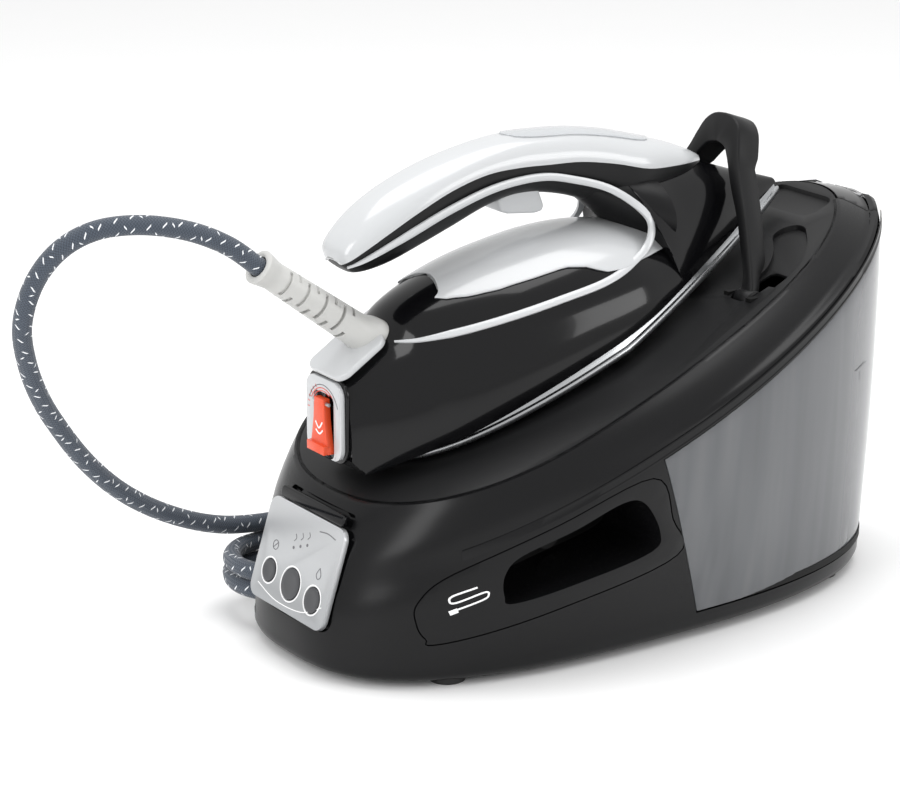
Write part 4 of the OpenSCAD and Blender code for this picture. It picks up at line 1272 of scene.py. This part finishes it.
# %% Grip and cover
grip = loft("soft_grip", [[handle_point(r, t, -0.35) for t in degrees_between(0, 350, 35)]
                          for r in handle_rows], grip_black)
cover_rows = [r for r in handle_rows if r[0] < 104.5]
cover = loft("white_cover", [[handle_point(r, t, 0.7) for t in degrees_between(3, 177, 40)]
                              + [handle_point(r, t, -2.0) for t in degrees_between(177, 3, 40)]
                              for r in cover_rows], pearl_white)
soften(cover, 0.6, 45, 3)
print("cover faces", len(cover.data.polygons))

# %% [markdown]
# A long smoky lens with rounded ends lies in the crown of the cover. It follows the same rows, and
# a rounded power curve narrows it at both ends.

# %% Lens
lens_rows = [r for r in handle_rows if -14 < r[0] < 76]


def lens_reach(k):
    """Half the angle the lens spans, with rounded ends."""
    t = abs(2 * k / (len(lens_rows) - 1) - 1)
    return 4 + 27 * math.sqrt(max(0.0, 1 - t ** 5))


lens_rings = []
for k, r in enumerate(lens_rows):
    low, high = 90 - lens_reach(k), 90 + lens_reach(k)
    lens_rings.append([handle_point(r, t, 1.5) for t in degrees_between(low, high, 16)]
                      + [handle_point(r, t, 0.3) for t in degrees_between(high, low, 16)])
lens = loft("smoky_lens", lens_rings, pale_grey)
soften(lens, 0.4, 45, 2)
lens_gloss = {"Transmission Weight": 0.35, "Coat Weight": 0.6, "Coat Roughness": 0.03}
lens.data.materials[0] = finish("lens_smoke", (0.62, 0.64, 0.66), 0.12, 300, 0.004, 0.06,
                                sockets=lens_gloss)
for part, node, slot in ((grip, "handle_grip", "dark_plastic"), (cover, "handle_cover", "white_gloss"),
                         (lens, "indicator_lens", "lens")):
    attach(part, "iron")
    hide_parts(node)
print("lens faces", len(lens.data.polygons))

# %% [markdown]
# Where the handle bends down into the nose, a dark filler closes the space between the grip, the
# saddle and the body. Only its flanks show, so a short loft of upright ovals is enough.

# %% Bend of the handle
bend_rings = []
for x, half, low, high in ((19, 9.0, 76, 84), (26, 13.5, 65, 82), (33, 17.5, 55, 78),
                           (41, 24.0, 43, 74), (50, 33.0, 30, 70), (56, 37.0, 20, 66)):
    mid, tall = (low + high) / 2, (high - low) / 2
    bend_rings.append([on_iron(x + 6 * math.sin(t) * (tall / 20), half * math.cos(t),
                               mid + tall * math.sin(t)) for t in whole_turn(40)])
bend = loft("handle_bend", bend_rings, grip_black)
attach(bend, "iron")
print("bend faces", len(bend.data.polygons))

# %% [markdown]
# One white line runs round each side of the iron: along the handle under the cover, down its
# front bend, and back along the body's flank. It's a slim moulded strip, so it's swept along one
# curve, with its flat side turned to the surface below it.

# %% Side line
line_stops = [(-131, 10, 113.6), (-122, 16.0, 114.6), (-100, 18.9, 115.2), (-66, 18.8, 114.6),
              (-34, 17.9, 110.6), (-6, 17.9, 101.5), (14, 18.4, 88.5), (30, 20.5, 75),
              (39.5, 25.5, 61.5), (42.5, 31.5, 51.5), (40.0, 33.5, 43.5), (32, 36.0, 38.8),
              (18, 41.0, 37.6), (-4, 45.5, 39.8), (-34, 45.5, 45.8), (-62, 42.5, 51.5),
              (-88, 37.5, 57.0), (-108, 30.5, 61.4), (-124, 19.5, 64.4)]
STRIP_SECTION = ((-1, -0.8), (-1, 0.75), (-0.8, 1.1), (0.8, 1.1), (1, 0.75), (1, -0.8))


def flank_of(x, z):
    """How far out the low body reaches at x and height z."""
    _, half, crest = section_at(x)
    lift = min(1.0, max(0.0, (z - SHELL_FOOT) / (crest - SHELL_FOOT)))
    return half * math.sqrt(1 - lift * lift)


def line_strip(side):
    """The strip on one side of the iron."""
    line = smooth_line(line_stops, 8)
    rings = []
    for k, (x, y, z) in enumerate(line):
        share = k / (len(line) - 1)
        if share > 0.5 and x < 30:
            on_body = min(1.0, (30 - x) / 14)
            y += (flank_of(x, z) + 0.1 - y) * on_body * on_body * (3 - 2 * on_body)
        before, after = line[max(k - 1, 0)], line[min(k + 1, len(line) - 1)]
        way = (Vector(after) - Vector(before)).normalized()
        lean = 0.0 if share < 0.45 else min(1.0, (share - 0.45) / 0.2)
        out = Vector((0.25 * math.sin(math.pi * lean), 1.0 - 0.25 * lean, 0.7 * lean))
        out = (out - way * out.dot(way)).normalized()
        across = way.cross(out)
        width = 2.1 * min(1.0, 0.25 + 6 * share, 0.25 + 9 * (1 - share))
        centre = Vector((x, y, z))
        spots = [centre + across * w * width + out * h for w, h in STRIP_SECTION]
        rings.append([on_iron(p.x, side * p.y, p.z) for p in spots])
    return loft("line", rings, pearl_white)


side_line = join("side_line", [line_strip(1), line_strip(-1)])
crisp(side_line, 50)
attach(side_line, "iron")
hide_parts("side_trim")
print("side line faces", len(side_line.data.polygons))

# %% [markdown]
# The steam trigger hangs from the underside of the grip: a light grey block with rounded edges
# that the forefinger pulls up into the handle.

# %% Steam trigger
trigger_side = [(-32, 99), (-32, 91.5), (-28, 88), (-12, 79.6), (-7, 78.4), (-5, 81), (-5, 99)]
trigger = prism("trigger_block", trigger_side, -8.5, 8.5, iron_side, pale_grey)
soften(trigger, 1.6, 30, 4)
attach(trigger, "trigger")
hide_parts("steam_trigger")
print("trigger faces", len(trigger.data.polygons))

# %% [markdown]
# At the heel sits the scale collector. Its white face has rounded corners and a shallow well for
# the red pull lever, a dark frame surrounds it, and its barrel reaches into the iron.

# %% Scale collector
HEEL_X = -169.3


def on_heel(a, b, h):
    """From the collector's face (a to the near side, b up, h out) to the base."""
    return Vector((HEEL_X - h, -a, 135 + b))


face = prism("collector_face", rounded_outline(35, 44, 8), 0, 4, on_heel, pearl_white)
well = [(a, b - 4) for a, b in rounded_outline(20.4, 36, 4)]
cut(face, prism("knife", well, 0.8, 8, on_heel, pearl_white))
soften(face, 0.9, 35, 3)
rim_frame = prism("heel_rim", rounded_outline(39.5, 48, 10), -0.5, 1.6, on_heel, piano_black)
soften(rim_frame, 0.6, 35, 2)
barrel_rings = [[on_iron(x, r * math.cos(t), 32 + r * math.sin(t)) for t in whole_turn(40)]
                for x, r in ((-166, 8), (-120, 8), (-118, 7.2))]
barrel = loft("collector_barrel", barrel_rings, pearl_white)
print("barrel faces", len(barrel.data.polygons))

# %% [markdown]
# A dial of three printed arcs with short ticks stands over the lever. Its strokes are joined with
# the face and the barrel, so that they leave the iron together.

# %% Dial on the collector
def on_dial(radius, degrees):
    """A place on the dial, from its centre."""
    t = math.radians(degrees)
    return (radius * math.cos(t), 3 + radius * math.sin(t))


marks = []
for radius, start, end, ink in ((15.2, 20, 160, print_grey), (13.4, 50, 158, print_red),
                                (11.8, 60, 150, print_red)):
    arc = [on_dial(radius, t) for t in range(start, end + 1, 5)]
    marks.append(stroke("arc", arc, 0.5, ink, 3.9, 4.12, on_heel))
for k in range(6):
    tick = [on_dial(14.2, 120 + 12 * k), on_dial(16.0, 120 + 12 * k)]
    marks.append(stroke("tick", tick, 0.5, print_red, 3.9, 4.12, on_heel))
collector = join("collector_piece", [face, barrel] + marks)
crisp(collector, 40)
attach(collector, "collector")
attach(rim_frame, "iron")
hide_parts("scale_collector")
print("collector faces", len(collector.data.polygons))

# %% [markdown]
# The red lever is narrow at its pivot and flared at the grip, where a raised bar gives the thumb a
# hold. Two short printed waves stand in for its sign.

# %% Collector lever
lever_half = [(4.6, 11.5), (5.2, 6), (5.6, 0), (7.2, -9), (8.8, -16), (8.8, -18.5)]
lever_outline = [(-4.6, 11.5)] + lever_half + [(-a, b) for a, b in lever_half[:0:-1]]
lever = prism("red_lever", lever_outline, 3.0, 7.0, on_heel, signal_red)
thumb_bar = [(-8.6, -13.5), (8.6, -13.5), (8.6, -18.4), (-8.6, -18.4)]
cut(lever, prism("thumb", thumb_bar, 6.5, 9.6, on_heel, signal_red), "UNION")
soften(lever, 0.8, 30, 3)
badge = [stroke("badge", smooth_line(wave, 6), 0.9, print_white, 7.0, 7.2, on_heel)
         for wave in ([(-3.4, -2), (0, -5.2), (3.4, -1.4)], [(-3.2, -6.6), (0.4, -8.4), (3.8, -5.8)])]
red_lever = join("red_lever", [lever] + badge)
crisp(red_lever, 40)
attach(red_lever, "lever")
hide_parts("collector_lever")
print("lever faces", len(red_lever.data.polygons))

# %% [markdown]
# The white plate over the collector slopes with the top of the heel. It carries the hose's strain
# relief, so it's thicker than it looks from the side.

# %% Top plate of the heel
def on_heel_top(a, b, h):
    """From the sloping top plate of the heel (a forward, b across) to the base."""
    lean = math.radians(10.6)
    x = -144 + a * math.cos(lean) - h * math.sin(lean)
    z = 63.3 + a * math.sin(lean) + h * math.cos(lean)
    return on_iron(x, b, z)


top_plate = prism("heel_top", rounded_outline(36, 36, 7), -0.5, 3.4, on_heel_top, pearl_white)
soften(top_plate, 1.2, 35, 4)
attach(top_plate, "iron")
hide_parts("heel_plate")
print("top plate faces", len(top_plate.data.polygons))

# %% [markdown]
# The strain relief is a soft white sleeve. Its foot is a squarish collar, then slots cut half way
# round it leave ribs that let it bend, and its mouth flares a little round the hose.

# %% Strain relief
relief_side = Vector((0, 1, 0))
relief_up = relief_way.cross(relief_side)


def on_relief(along, angle, radius, square=1.0):
    """A place round the sleeve; square under 1 makes the section boxy."""
    c, s = math.cos(angle), math.sin(angle)
    c, s = math.copysign(abs(c) ** square, c), math.copysign(abs(s) ** square, s)
    return relief_low + relief_way * along + (relief_side * c + relief_up * s) * radius


sleeve_stops = [(0, 12.4, 0.62), (5, 12.0, 0.66), (9, 10.6, 0.8), (14, 9.6, 0.95), (22, 9.3, 1.0),
                (46, 8.7, 1.0), (70, 8.1, 1.0), (77, 8.0, 1.0), (82, 8.9, 1.0), (86, 9.6, 1.0),
                (87, 9.2, 1.0), (87, 6.0, 1.0), (80, 5.6, 1.0)]
sleeve = loft("ribbed_sleeve", [[on_relief(a, t, r, q) for t in whole_turn(48)]
                                for a, r, q in smooth_line(sleeve_stops, 3)], relief_white)
for k in range(8):
    at = 24 + 6.6 * k
    turned = 0 if k % 2 else math.pi
    for half in (0, math.pi):
        arc = [half + turned * 0.5 + math.radians(t) for t in range(-58, 59, 8)]
        slot = [[on_relief(at + d, t, r) for d, r in ((-1.1, 6.9), (1.1, 6.9), (1.1, 11), (-1.1, 11))]
                for t in arc]
        cut(sleeve, loft("slot", slot, relief_white))
soften(sleeve, 0.3, 45, 2)
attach(sleeve, "iron")
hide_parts("strain_relief")
print("sleeve faces", len(sleeve.data.polygons))

# %% [markdown]
# A small folded-cord sign is printed in white at the front of the cord compartment, and a thin
# bar with a cap marks the tank's highest water level.

# %% Printed signs
SIGN_LIFT = 0.3
near_wall = base_levels(0, 8)


def on_near_wall(x, z):
    """The near wall of the base at x and z, with the sign's lift."""
    spots = []
    for low, high in zip(near_wall[2:], near_wall[3:]):
        for i in range(BASE_AROUND // 2 + 1, BASE_AROUND):
            if low[i][2] <= z < high[i][2]:
                t = (z - low[i][2]) / (high[i][2] - low[i][2])
                spots.append(tuple(p + (q - p) * t for p, q in zip(low[i][:2], high[i][:2])))
    spots.sort()
    for (x0, y0), (x1, y1) in zip(spots, spots[1:]):
        if x0 <= x <= x1:
            return (x, y0 + (y1 - y0) * (x - x0) / max(1e-6, x1 - x0) - SIGN_LIFT, z)
    return (x, spots[0][1] - SIGN_LIFT, z)


def on_wall(line, width, ink):
    """A printed stroke that follows the curved wall."""
    left, right = both_edges(line, width / 2)
    rings = [[on_near_wall(*a), on_near_wall(*b)] for a, b in zip(left, right)]
    return loft("sign", rings, ink, capped=False, closed=False)


cord_sign = [(-146, 46.5), (-133, 51.5), (-130.5, 54), (-132.6, 55.6), (-146.5, 50.4),
             (-149.4, 51.6), (-147.4, 54.4), (-136, 58.6)]
ink = [on_wall(smooth_line(cord_sign, 6), 1.0, print_white),
       on_wall([(-149.5, 44.6), (-145.5, 46.2)], 2.6, print_white)]
cord_mark = join("cord_mark", ink)
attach(cord_mark, "base")
level_marks = join("level_marks", [on_wall([(132, 130), (146, 131.6)], 0.7, print_grey),
                                   on_wall([(139, 127.6), (139.2, 122.4)], 0.6, print_grey)])
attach(level_marks, "tank")
print("signs ready")

# %% [markdown]
# The pieces inside keep the working model's shapes, so they only need a finish: rubber, brass,
# cast and sheet metal, circuit board and fired clay.

# %% Finishes of the inner pieces
kept_finishes = {
    deep_black: ["base_plate", "hose_bay", "bay_bulkhead", "pump", "hoop_brackets", "trigger_switch"],
    rubber: ["feet", "mains_gland", "pump_mount", "tank_coupling", "rest_pads"],
    steel: ["base_screws", "boiler", "boiler_brackets", "boiler_element", "steam_pipe", "lid_pin",
            "hoop_pins", "iron_element", "lever_pin", "steam_chamber"],
    brass: ["hose_gland", "steam_valve"],
    green_board: ["button_board", "control_board"],
    ivory: ["terminal_block", "thermal_cutout", "iron_thermostat", "tank_valve"],
    red_silicone: ["water_tube", "collector_seal"],
    piano_black: ["tank_roof"],
}
for made, names in kept_finishes.items():
    for name in names:
        shape = bpy.data.objects[name].data
        shape.materials.clear()
        shape.materials.append(made)
print("inner pieces finished", sum(len(names) for names in kept_finishes.values()))
